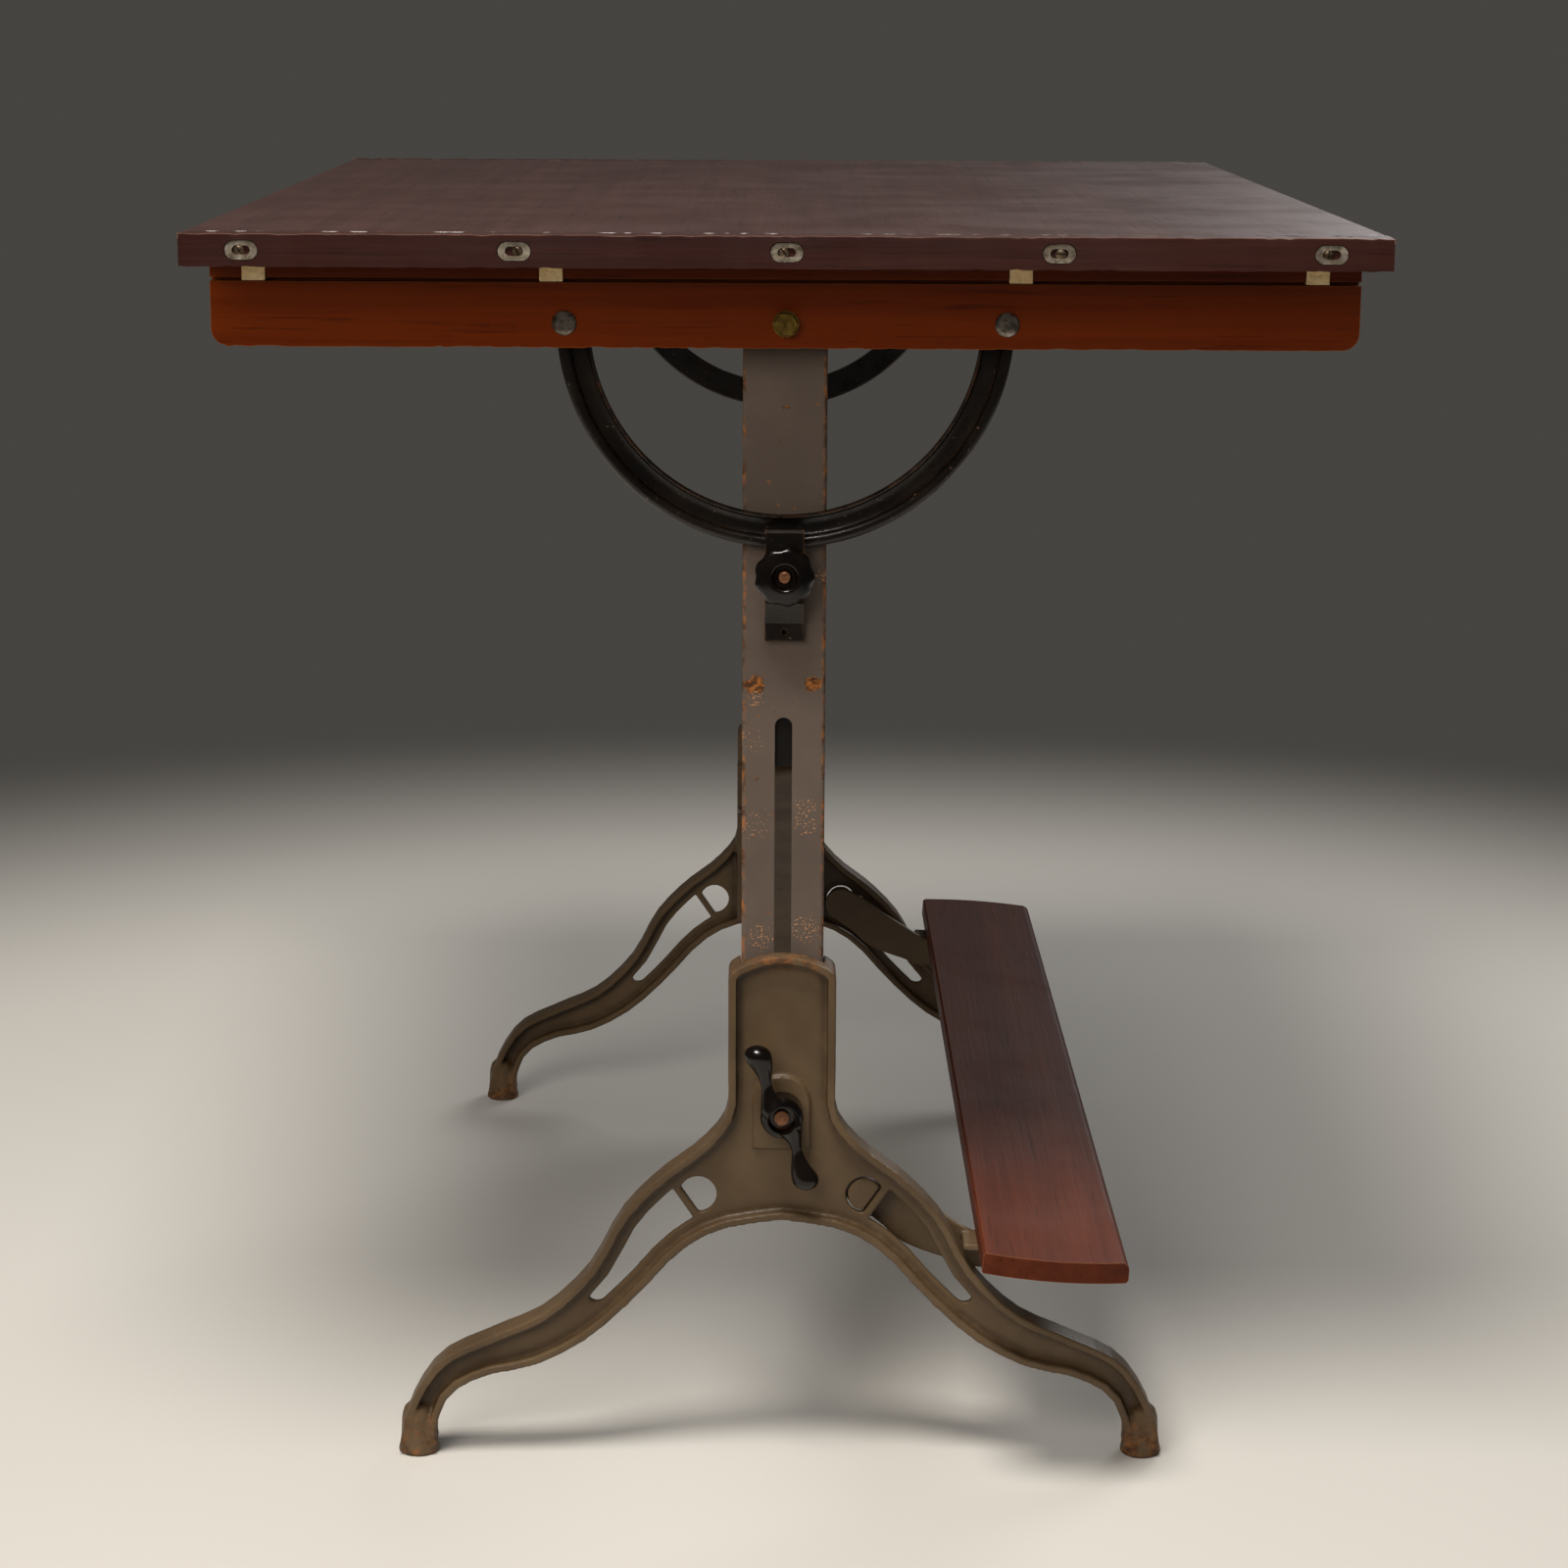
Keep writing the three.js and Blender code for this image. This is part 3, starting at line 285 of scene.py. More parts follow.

# %% [markdown]
# ## Painted iron
# The castings carry an old olive paint. On the real ones, dirt and rust settle in the inner corners of the
# rims, paint rubs off the outer edges, and the feet and the top of the column rust where water stands. Each
# of those is a mask: corners, edges, and height above the floor. Fine noise in the bump gives the
# grain of the sand that the iron was cast in. Behind the posts, the keepers' faces inside the guide are
# painted nearly black: painted shade, for the dark that shows through the posts' slots.

# %% Painted casting finish
RUST_DARK, RUST_WARM = (0.052, 0.02, 0.0065), (0.2, 0.075, 0.02)
# Near black for the keepers' faces inside the guide: painted shade, not the iron's own colour.
GUIDE_SHADE_BLACK = (0.008, 0.0055, 0.004)
FOOT_RUST, CROWN_RUST = 0.05, 0.022
keeper_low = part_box("guide_keeper_front")[0]
casting_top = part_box("leg_casting_front")[1].z
post_low, post_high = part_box("post_front")
POST_HALF = post_high.x


def painted_casting():
    finish = Finish("casting_paint")
    cloud = finish.noise(11, 4)
    grain = finish.noise(260, 4)
    colour = finish.mix(finish.mask(cloud, 0.32, 0.68), (0.062, 0.038, 0.0185), (0.092, 0.059, 0.03))
    grime = finish.mask(finish.noise(38, 5), 0.55, 0.75, 0.0, 0.45)
    colour = finish.mix(grime, colour, (0.062, 0.034, 0.014))
    rough_patch = finish.mask(finish.noise(75, 5), 0.3, 0.55, 0.35, 1.0)
    dirt = finish.times(finish.corners(0.011, 0.93, 0.62), rough_patch)
    colour = finish.mix(finish.times(dirt, 0.92), colour, (0.026, 0.013, 0.005))
    bare = finish.times(finish.edges(0.0026), finish.mask(finish.noise(60, 5), 0.4, 0.6))
    colour = finish.mix(finish.times(bare, 0.75), colour, (0.07, 0.036, 0.015))
    height = finish.axis("Z")
    low = finish.mask(height, FOOT_RUST, 0.0)
    high = finish.mask(height, casting_top - CROWN_RUST, casting_top)
    creep = finish.mask(finish.noise(95, 5), 0.38, 0.62)
    rust = finish.times(finish.most(low, finish.times(high, 0.8)), creep)
    rust_colour = finish.mix(finish.mask(finish.noise(150, 4), 0.4, 0.65), RUST_DARK, RUST_WARM)
    colour = finish.mix(finish.times(rust, 0.85), colour, rust_colour)
    freckles = finish.times(finish.mask(finish.noise(210, 3), 0.66, 0.72), finish.mask(cloud, 0.45, 0.6))
    colour = finish.mix(finish.times(freckles, 0.6), colour, RUST_DARK)
    roughness = finish.mask(finish.maths("ADD", grain, rust), 0.3, 1.2, 0.42, 0.8)
    finish.bump(finish.maths("ADD", grain, finish.times(finish.noise(60, 3), 0.8)), 0.0007, 0.45)
    # The keepers' faces inside the guide go nearly black here: painted shade behind the posts' slots.
    within_guide = finish.mask(finish.size_of("X"), POST_HALF, POST_HALF - 1 * MM)
    keeper = finish.between(finish.size_of("Y"), -keeper_low.y - 5.8 * MM, -keeper_low.y + 1.5 * MM, 0.5 * MM)
    colour = finish.mix(finish.times(within_guide, keeper), colour, GUIDE_SHADE_BLACK)
    return finish.done(colour, roughness, Specular_IOR_Level=0.3, Coat_Weight=0.06, Coat_Roughness=0.35)


casting_paint = painted_casting()

# %% [markdown]
# The posts are pressed steel under a greyer paint. It fails along the two bent edges first, where it was
# thinnest, so the rust mask is the distance from the middle of the post. A few patches have known causes:
# the rivets of the cross rail, and places beside the slot where the clamp has rubbed. Each is a soft spot
# added to a fine noise, so that it breaks up into flakes that thin out round it. Inside each channel the
# colour is nearly black: painted shade, where light hardly reaches.

# %% Painted post finish
rail_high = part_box("cross_rail")[1]
RIVET_X, RIVET_Z = 0.8 * rail_high.x, rail_high.z - 0.032
FLAKED_PLACES = [  # x, z, radius and share
    (-RIVET_X, RIVET_Z - 0.011, 0.013, 1.0),
    (0.018, 0.553, 0.015, 1.0),
    (0.018, 0.54, 0.018, 0.8),
    (-0.018, 0.446, 0.021, 0.9),
    (0.018, 0.452, 0.021, 0.9),
    (0.031, 0.742, 0.012, 1.0),
    (-0.028, 0.61, 0.022, 0.7),
    (-0.022, 0.54, 0.025, 0.68),
]


def painted_post():
    finish = Finish("post_paint")
    cloud = finish.noise(9, 4)
    fine = finish.noise(230, 4)
    colour = finish.mix(finish.mask(cloud, 0.3, 0.7), (0.082, 0.061, 0.0485), (0.112, 0.084, 0.067))
    from_middle = finish.size_of("X")
    broken = finish.mask(finish.noise(120, 6, (1, 1, 0.45), rough=0.7), 0.44, 0.58)
    sides = finish.times(finish.mask(from_middle, POST_HALF - 4.5 * MM, POST_HALF - 0.5 * MM), broken)
    patches = finish.most(*(
        finish.times(finish.spot(x, z, radius), share) for x, z, radius, share in FLAKED_PLACES
    ))
    grit = finish.noise(560, 2, rough=0.55)
    flaked = finish.mask(finish.maths("ADD", finish.times(patches, 0.2), grit), 0.76, 0.8)
    smear = finish.noise(100, 4, (1, 1, 1.6))
    marks = finish.most(finish.spot(-RIVET_X, RIVET_Z, 0.0125), finish.spot(RIVET_X, RIVET_Z, 0.0105))
    bled = finish.mask(finish.maths("ADD", finish.times(marks, 0.42), smear), 0.66, 0.76)
    rust_colour = finish.mix(finish.mask(finish.noise(140, 4), 0.42, 0.62), RUST_DARK, (0.3, 0.105, 0.024))
    colour = finish.mix(finish.times(sides, 0.9), colour, rust_colour)
    colour = finish.mix(finish.times(bled, 0.92), colour, rust_colour)
    colour = finish.mix(finish.times(flaked, 0.9), colour, (0.4, 0.2, 0.095))
    worn_through = finish.most(sides, flaked, bled)
    chips = finish.times(finish.mask(finish.noise(300, 3), 0.68, 0.72), finish.mask(cloud, 0.48, 0.62))
    colour = finish.mix(finish.times(chips, 0.55), colour, (0.2, 0.13, 0.08))
    # Inside the channel the colour goes nearly black: painted shade where light hardly reaches, not the
    # steel's own colour.
    depth = finish.size_of("Y")
    behind = finish.mask(depth, -post_low.y - 3.5 * MM, -post_low.y - 3.9 * MM)
    within = finish.mask(from_middle, POST_HALF - 2.2 * MM, POST_HALF - 2.8 * MM)
    near_post = finish.mask(depth, -post_high.y - 22 * MM, -post_high.y - 18 * MM)
    colour = finish.mix(finish.times(behind, within, near_post), colour, (0.006, 0.005, 0.0045))
    roughness = finish.mask(finish.maths("ADD", fine, worn_through), 0.3, 1.2, 0.45, 0.78)
    relief = finish.maths("SUBTRACT", finish.times(fine, 0.5), finish.times(worn_through, 0.8))
    finish.bump(relief, 0.0005, 0.5)
    return finish.done(colour, roughness, Specular_IOR_Level=0.2)


post_paint = painted_post()

# %% [markdown]
# ## Black enamel, new and worn
# The half rings and straps are black, but years of clamping have rubbed their outer edges down to brown
# iron. The knobs and handles are dipped in a thick glossy enamel: nearly black, with a thin clear coat and
# a little dust in the hollows.

# %% Black finishes
def worn_black():
    finish = Finish("black_iron")
    cloud = finish.noise(16, 4)
    colour = finish.mix(finish.mask(cloud, 0.35, 0.7), (0.0038, 0.0028, 0.0023), (0.0105, 0.0068, 0.0045))
    rub = finish.times(finish.edges(0.0022), finish.mask(finish.noise(70, 5), 0.4, 0.58))
    colour = finish.mix(finish.times(rub, 0.8), colour, (0.11, 0.045, 0.016))
    dots = finish.mask(finish.noise(240, 3), 0.68, 0.73)
    colour = finish.mix(finish.times(dots, 0.7), colour, (0.13, 0.075, 0.045))
    roughness = finish.mask(finish.noise(55, 4), 0.3, 0.7, 0.24, 0.42)
    finish.bump(finish.noise(190, 4), 0.0004, 0.4)
    return finish.done(colour, roughness, Specular_IOR_Level=0.35, Coat_Weight=0.1, Coat_Roughness=0.2)


def glossy_black(name, dust):
    finish = Finish(name)
    cloud = finish.mask(finish.noise(35, 4), 0.4, 0.7)
    colour = finish.mix(cloud, (0.0016, 0.001, 0.0009), (0.0045, 0.0028, 0.002))
    settled = finish.times(finish.corners(0.008), finish.mask(finish.noise(90, 4), 0.35, 0.6))
    colour = finish.mix(finish.times(settled, 0.8), colour, dust)
    nicks = finish.times(finish.edges(0.0012), finish.mask(finish.noise(130, 4), 0.56, 0.64))
    colour = finish.mix(finish.times(nicks, 0.7), colour, (0.06, 0.04, 0.028))
    roughness = finish.mask(finish.noise(60, 4), 0.3, 0.7, 0.14, 0.26)
    finish.bump(finish.noise(120, 3), 0.0003, 0.25)
    return finish.done(colour, roughness, Specular_IOR_Level=0.3, Coat_Weight=0.12, Coat_Roughness=0.08)


black_iron = worn_black()
knob_enamel = glossy_black("knob_enamel", (0.012, 0.008, 0.005))
handle_enamel = glossy_black("handle_enamel", (0.06, 0.022, 0.008))

# %% [markdown]
# ## Bare metals
# Bolts, nickel plates and brass clips share one recipe: a metal whose colour and roughness drift, with dark
# tarnish in the corners and spots. Only the colours and the amount of tarnish change, so they come from one
# function.

# %% Metal finishes
def metal(name, bright, dull, tarnish, rough, spots=0.6, metallic=0.9):
    finish = Finish(name)
    drift = finish.noise(130, 5)
    colour = finish.mix(finish.mask(drift, 0.34, 0.66), dull, bright)
    stain = finish.mask(finish.noise(230, 5), 0.5, 0.66)
    colour = finish.mix(finish.times(stain, spots), colour, tarnish)
    colour = finish.mix(finish.times(finish.corners(0.004), 0.8), colour, tarnish)
    roughness = finish.mask(finish.noise(170, 4), 0.3, 0.7, rough - 0.1, rough + 0.15)
    finish.bump(finish.noise(420, 4), 0.0003, 0.4)
    return finish.done(colour, roughness, Metallic=metallic)


bolt_steel = metal("bolt_steel", (0.34, 0.3, 0.26), (0.12, 0.095, 0.075), (0.04, 0.022, 0.012), 0.42)
plate_nickel = metal("plate_nickel", (0.62, 0.54, 0.44), (0.36, 0.29, 0.21), (0.12, 0.075, 0.04), 0.42)
screw_bronze = metal("screw_bronze", (0.2, 0.15, 0.1), (0.09, 0.06, 0.038), (0.025, 0.014, 0.008), 0.4)
clip_brass = metal("clip_brass", (1.0, 0.8, 0.46), (0.88, 0.64, 0.32), (0.4, 0.24, 0.09), 0.45, 0.3, 0.25)
zinc_yellow = metal("zinc_yellow", (0.5, 0.32, 0.07), (0.24, 0.15, 0.03), (0.05, 0.03, 0.01), 0.36, 0.5)
rusty_stud = metal("rusty_stud", (0.3, 0.14, 0.07), (0.14, 0.055, 0.025), (0.05, 0.02, 0.01), 0.5, 0.5, 0.6)

# %% [markdown]
# ## From a plain node to a finished piece
# The frame's meshes are loose triangles with perfectly sharp edges. A real edge is never sharp: it catches a
# thin line of light, and that line is most of what makes a picture of an object look solid. So each copy has
# its doubles merged and its flat faces made whole, and a Bevel modifier rounds the edges. A Weighted Normal
# modifier keeps the large faces looking flat beside the small ones. The modifiers are then applied.

# %% Piece helpers
WELD = 0.005 * MM
FLAT = math.radians(0.5)
scene_collection = bpy.context.scene.collection


def welded(node):
    """A frame node's mesh, its triangles joined at their corners and its flat faces whole."""
    mesh = bmesh.new()
    mesh.from_mesh(nodes[node].data)
    bmesh.ops.remove_doubles(mesh, verts=mesh.verts, dist=WELD)
    bmesh.ops.dissolve_limit(mesh, angle_limit=FLAT, verts=mesh.verts, edges=mesh.edges)
    return mesh


def object_of(name, mesh, material):
    """A new object at the origin from a bmesh, which is freed."""
    data = bpy.data.meshes.new(name)
    mesh.to_mesh(data)
    mesh.free()
    made = bpy.data.objects.new(name, data)
    scene_collection.objects.link(made)
    data.materials.append(material)
    return made


def apply_modifiers(piece):
    graph = bpy.context.evaluated_depsgraph_get()
    result = bpy.data.meshes.new_from_object(piece.evaluated_get(graph), depsgraph=graph)
    piece.modifiers.clear()
    piece.data = result


def shade(piece, angle=32):
    """Smooth shading, with a crease wherever two faces meet at more than the angle."""
    piece.data.shade_smooth()
    piece.data.set_sharp_from_angle(angle=math.radians(angle))


def round_edges(piece, width, segments=2, angle=40):
    bevel = piece.modifiers.new("edges", "BEVEL")
    bevel.width = width
    bevel.segments = segments
    bevel.limit_method = "ANGLE"
    bevel.angle_limit = math.radians(angle)
    piece.data.shade_smooth()
    normals = piece.modifiers.new("normals", "WEIGHTED_NORMAL")
    normals.weight = 80
    apply_modifiers(piece)


def finish_piece(piece, body, slot, *replaced):
    """Hides the nodes that a piece replaces and attaches it to the body that it rides on. The slot is not
    used.
    """
    if replaced:
        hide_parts(*replaced)
    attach(piece, body)
    return piece


def body_of(node):
    return nodes[node]["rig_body"]


def rounded_copy(node, material, slot, width, segments=2, angle=40):
    """A frame node with rounded edges and a finish."""
    piece = object_of(f"{node}_finished", welded(node), material)
    round_edges(piece, width, segments, angle)
    return finish_piece(piece, body_of(node), slot, node)


ENDS = ("front", "back")

# %% [markdown]
# ## The board, its end cleats and the battens
# The board's grain runs along its length. A cleat with its grain across closes each end, and keeps the
# boards flat while they swell and shrink. The cleats' outer arris is the edge that everyone leans on, so it
# is not only rounded: its line is cut into short lengths and each is pushed in a little, which gives the
# small dents and flats of a worn edge. It is real geometry, because a bump can't change an outline.

# %% Board and cleats
ARRIS_STEP = 0.006
ARRIS_DENT = 0.0009


def cut_across(mesh, axis, start, stop, step, rng):
    """Cuts a mesh by planes square to an axis, at slightly uneven steps."""
    place = start + step
    while place < stop - step:
        normal = Vector([1.0 if i == axis else 0.0 for i in range(3)])
        geometry = mesh.verts[:] + mesh.edges[:] + mesh.faces[:]
        bmesh.ops.bisect_plane(mesh, geom=geometry, plane_co=normal * place, plane_no=normal)
        place += step * rng.uniform(0.6, 1.4)


def worn_edge_copy(node, material, slot, axis, seed, width=0.0016):
    """A wooden piece whose long edges are rounded and dented along one axis."""
    rng = random.Random(seed)
    low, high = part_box(node)
    mesh = welded(node)
    cut_across(mesh, axis, low[axis], high[axis], ARRIS_STEP, rng)
    piece = object_of(f"{node}_finished", mesh, material)
    bevel = piece.modifiers.new("edges", "BEVEL")
    bevel.width = width
    bevel.segments = 2
    bevel.limit_method = "ANGLE"
    bevel.angle_limit = math.radians(40)
    apply_modifiers(piece)
    middle = (low + high) / 2
    others = [i for i in range(3) if i != axis]
    dents = {}
    for vertex in piece.data.vertices:
        near = [abs(abs(vertex.co[i] - middle[i]) - (high[i] - low[i]) / 2) for i in others]
        if max(near) < 1.2 * width:
            key = (round(vertex.co[axis] / (0.7 * ARRIS_STEP)), *(vertex.co[i] > middle[i] for i in others))
            if key not in dents:
                dents[key] = ARRIS_DENT * rng.random() ** 3
            for i in others:
                vertex.co[i] -= math.copysign(dents[key], vertex.co[i] - middle[i])
    piece.data.shade_smooth()
    piece.modifiers.new("normals", "WEIGHTED_NORMAL").weight = 80
    apply_modifiers(piece)
    return finish_piece(piece, body_of(node), slot, node)


rounded_copy("board_panel", board_wood, "board_wood", 0.0012)
for seed, end in enumerate(ENDS):
    cleat = worn_edge_copy(f"end_cleat_{end}", cleat_wood, "board_wood", 0, seed)
    batten = worn_edge_copy(f"batten_{end}", batten_wood, "batten_wood", 0, seed + 10, 0.0014)
    print(end, "cleat:", len(cleat.data.polygons), "faces; batten:", len(batten.data.polygons))

# %% [markdown]
# ## The foot rest's board
# It has a long round front edge and two gently bowed ends, all of them already in the frame's shape. Its
# grain runs along its length.

# %% Foot rest board
rest_board = rounded_copy("foot_rest_board", rest_wood, "rest_wood", 0.0013, 3, 28)
print("foot rest board:", len(rest_board.data.polygons), "faces")

# %% [markdown]
# ## Iron castings
# A sand casting has no sharp corners anywhere: the inner ones are filled so that the iron flows, and the
# outer ones are round because loose sand can't hold an edge. A bevel would have to solve every corner where
# rims, bosses and feet meet. A voxel remesh does it in one step: the whole solid becomes a fine even
# skin, a few passes of smoothing melt both kinds of corner, and a collapse takes away the faces that flat
# parts don't need. Both ends are alike, so the skin is made once and turned for the other end.

# %% Castings
HALF_TURN = Matrix.Rotation(math.pi, 4, "Z")
MIRROR_Y = Matrix.Scale(-1, 4, (0, 1, 0))


def melted(name, mesh, material, voxel, passes, keep):
    """A solid as a fine skin with soft corners."""
    piece = object_of(name, mesh, material)
    remesh = piece.modifiers.new("skin", "REMESH")
    remesh.mode = "VOXEL"
    remesh.voxel_size = voxel
    soften = piece.modifiers.new("soften", "SMOOTH")
    soften.iterations = passes
    collapse = piece.modifiers.new("collapse", "DECIMATE")
    collapse.ratio = keep
    apply_modifiers(piece)
    piece.data.shade_smooth()
    return piece


def at_other_end(piece, name, move):
    """A copy of a front piece at the back, turned or mirrored."""
    data = piece.data.copy()
    data.transform(move)
    if move.determinant() < 0:
        data.flip_normals()
    made = bpy.data.objects.new(name, data)
    scene_collection.objects.link(made)
    return made


def pair(stem, made, move, slot):
    """Finishes a front piece and its copy at the back."""
    back = at_other_end(made, f"{stem}_back_finished", move)
    for piece, end in ((made, "front"), (back, "back")):
        finish_piece(piece, body_of(f"{stem}_{end}"), slot, f"{stem}_{end}")
    print(stem, "pair:", len(made.data.polygons), "faces each")


leg = melted("leg_casting_front_finished", welded("leg_casting_front"), casting_paint, 0.0015, 4, 0.35)
pair("leg_casting", leg, HALF_TURN, "casting_paint")
arm = melted("foot_rest_arm_front_finished", welded("foot_rest_arm_front"), casting_paint, 0.0011, 3, 0.4)
pair("foot_rest_arm", arm, MIRROR_Y, "casting_paint")
for end in ENDS:
    rounded_copy(f"guide_keeper_{end}", casting_paint, "casting_paint", 0.0009)
rounded_copy("stretcher", casting_paint, "casting_paint", 0.0012)

# %% [markdown]
# ## Posts and cross rail
# The posts are bent from plate, so their long corners are already round in the frame. Only the cut edges
# need a fine bevel: the rim of the slot, the holes and the ends.

# %% Posts and rail
for end in ENDS:
    rounded_copy(f"post_{end}", post_paint, "post_paint", 0.0006, 2, 50)
rounded_copy("cross_rail", post_paint, "post_paint", 0.0009)
print("posts and rail:", round(post_high.z - post_low.z, 3), "m tall posts")

# %% [markdown]
# ## Turned shapes
# Knobs, bolts and the half rings are all profiles swept round an axis. One helper builds the rings of
# such a mesh point by point, so the number of steps, the sweep and any lobes are easy to control. The
# profile is given as distance from the axis and distance along it. The Screw modifier could do
# the same, but not the scalloped rim of the knob.

# %% Sweep helper
def smooth_line(points, steps):
    """A curve through the points (Catmull and Rom's), with some steps between each pair."""
    line = []
    for i in range(len(points) - 1):
        p0, p1, p2, p3 = (Vector(points[min(max(i + k, 0), len(points) - 1)]) for k in (-1, 0, 1, 2))
        for step in range(steps):
            t = step / steps
            line.append(0.5 * (2 * p1 + (p2 - p0) * t + (2 * p0 - 5 * p1 + 4 * p2 - p3) * t**2
                               + (3 * p1 - p0 - 3 * p2 + p3) * t**3))
    line.append(Vector(points[-1]))
    return line


def arc_points(centre, radius, start, stop, steps):
    """Points on part of a circle, with angles in degrees."""
    angles = [math.radians(start + (stop - start) * i / steps) for i in range(steps + 1)]
    return [(centre[0] + radius * math.cos(a), centre[1] + radius * math.sin(a)) for a in angles]


def swept(profile, steps, reach=lambda radius, along, angle: radius, sway=lambda along: 0.0):
    """A closed bmesh of a profile of (radius, along) points turned about Z, closed at its two ends."""
    mesh = bmesh.new()
    rings = []
    for radius, along in profile:
        ring = []
        for i in range(steps):
            angle = 2 * math.pi * i / steps
            far = reach(radius, along, angle)
            ring.append(mesh.verts.new((far * math.cos(angle) + sway(along), far * math.sin(angle), along)))
        rings.append(ring)
    for lower, upper in zip(rings, rings[1:]):
        for i in range(steps):
            j = (i + 1) % steps
            mesh.faces.new((lower[i], lower[j], upper[j], upper[i]))
    mesh.faces.new(rings[0][::-1])
    mesh.faces.new(rings[-1])
    bmesh.ops.remove_doubles(mesh, verts=mesh.verts, dist=WELD)
    bmesh.ops.recalc_face_normals(mesh, faces=mesh.faces)
    return mesh


def facing_out(x, out, z):
    """A matrix that stands a shape's own Z along -Y, at a place at the front end."""
    return Matrix.Translation((x, -out, z)) @ Matrix.Rotation(math.radians(90), 4, "X")


# %% [markdown]
# ## The half rings
# Each ring is a bent section: a round bead outside, a thin hollow band, and a raised lip inside. The section
# is drawn once in radius and depth, then carried through half a turn. Round lugs take the bolts to the
# batten.

# %% Tilt arcs
ring_low, ring_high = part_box("tilt_arc_front")
pivot_low, pivot_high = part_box("pivot_bolt_front")
PIVOT_Z = (pivot_low.z + pivot_high.z) / 2
RING = {"radius": PIVOT_Z - ring_low.z, "bead": 0.010, "band": 0.0135, "lip": 0.0025}
LUG = {"x": ring_high.x - 0.014, "radius": 0.014, "thickness": 0.008}
RING_BACK = -ring_high.y
RING_FACE = -ring_low.y - 0.3 * MM


def ring_section():
    """The section's points as (radius, out), anticlockwise."""
    radius, bead = RING["radius"], RING["bead"]
    inner = radius - bead - RING["band"]
    deep = RING_BACK + 0.0058
    bead_middle = (radius - bead / 2, RING_FACE - bead / 2)
    section = [(inner - RING["lip"], RING_BACK), (radius - 0.0015, RING_BACK), (radius, RING_BACK + 0.0015)]
    section += arc_points(bead_middle, bead / 2, 0, 180, 10)
    section += [(radius - bead, deep + 0.0012), (radius - bead - 0.0012, deep)]
    section += [(inner + 0.5 * RING["band"], deep - 0.0011), (inner + 0.0012, deep - 0.0002)]
    section += [(inner, deep + 0.001)]
    section += arc_points((inner - 0.00125, RING_BACK + 0.0068), 0.00125, 0, 180, 4)
    return section


def half_ring(steps=96):
    mesh = bmesh.new()
    rings = []
    for i in range(steps + 1):
        angle = math.pi * (1 + i / steps)
        way = Vector((math.cos(angle), 0, math.sin(angle)))
        middle = Vector((0, 0, PIVOT_Z))
        rings.append([mesh.verts.new(middle + way * r - Vector((0, out, 0))) for r, out in ring_section()])
    count = len(rings[0])
    for first, second in zip(rings, rings[1:]):
        for i in range(count):
            j = (i + 1) % count
            mesh.faces.new((first[i], first[j], second[j], second[i]))
    mesh.faces.new(rings[0])
    mesh.faces.new(rings[-1][::-1])
    bmesh.ops.recalc_face_normals(mesh, faces=mesh.faces)
    return mesh


def boolean(piece, tool, operation):
    """Joins a tool to a piece, or cuts it away, and deletes the tool."""
    made = piece.modifiers.new("boolean", "BOOLEAN")
    made.operation = operation
    made.solver = "EXACT"
    made.object = tool
    apply_modifiers(piece)
    bpy.data.objects.remove(tool)


def tilt_arc():
    piece = object_of("tilt_arc_front_finished", half_ring(), black_iron)
    lug_face = -ring_low.y
    for side in (-1, 1):
        lug = swept([(LUG["radius"], 0), (LUG["radius"], LUG["thickness"])], 40)
        lug.transform(facing_out(side * LUG["x"], lug_face - LUG["thickness"], PIVOT_Z))
        boolean(piece, object_of("lug", lug, black_iron), "UNION")
    shade(piece, 40)
    return piece


pair("tilt_arc", tilt_arc(), HALF_TURN, "black_iron")

# %% [markdown]
# ## Tilt knobs
# A cast knob that a hand can grip wet: its rim has shallow lobes, its face is a low dome, and a recess
# in the middle shows the end of the stud. The lobes are a cosine on the radius that fades towards the
# middle.

# %% Tilt knobs
knob_low, knob_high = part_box("tilt_knob_front")
KNOB_Z = (knob_low.z + knob_high.z) / 2
KNOB_RADIUS = (knob_high.z - knob_low.z) / 2
KNOB_DEPTH = knob_high.y - knob_low.y
KNOB_LOBES = 9


def tilt_knob():
    rim, depth = KNOB_RADIUS, KNOB_DEPTH
    corners = [(0.011, 0.0), (0.011, 0.0035), (0.0135, 0.0045), (rim - 0.0035, 0.0055), (rim - 0.0008, 0.008)]
    corners += [(rim, 0.0115), (rim - 0.0006, 0.0145), (rim - 0.0032, 0.0172), (rim - 0.0075, 0.0188)]
    corners += [(0.0125, depth), (0.0108, depth - 0.0003), (0.0096, depth - 0.002), (0.0085, depth - 0.0055)]
    corners += [(0.0052, depth - 0.006), (0.0052, depth - 0.012)]
    profile = smooth_line(corners, 4)

    def reach(radius, along, angle):
        share = max(0.0, (radius - 0.014) / (rim - 0.014)) ** 2
        dip = 0.5 - 0.5 * math.cos(KNOB_LOBES * angle)
        return radius - share * 0.0015 * dip**1.3

    mesh = swept(profile, 144, reach)
    mesh.transform(facing_out(0, -knob_high.y, KNOB_Z))
    piece = object_of("tilt_knob_front_finished", mesh, knob_enamel)
    shade(piece, 50)
    return piece


pair("tilt_knob", tilt_knob(), HALF_TURN, "black_enamel")

# %% [markdown]
# ## Lock handles
# The lever that locks the height is one casting: a round hub, two necks that swell into pear-shaped ends,
# and a deep counterbore with the bolt in it. Hub and arms are separate turned shapes at first. A voxel
# remesh joins them into one skin, and smoothing gives the soft root where each arm leaves the hub. The
# counterbore is cut last, so it stays crisp.

# %% Lock handles
handle_low, handle_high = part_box("lock_handle_front")
LOCK_Z = (handle_low.z + handle_high.z) / 2
HANDLE = {"hub": 0.0175, "bulb": 0.0106, "neck": 0.0047, "arm": 0.055, "lean": 23.0, "sway": 0.003}
HUB_BACK = -handle_high.y
HUB_DEPTH = 0.0235
ARM_OUT = -handle_low.y - HANDLE["bulb"]


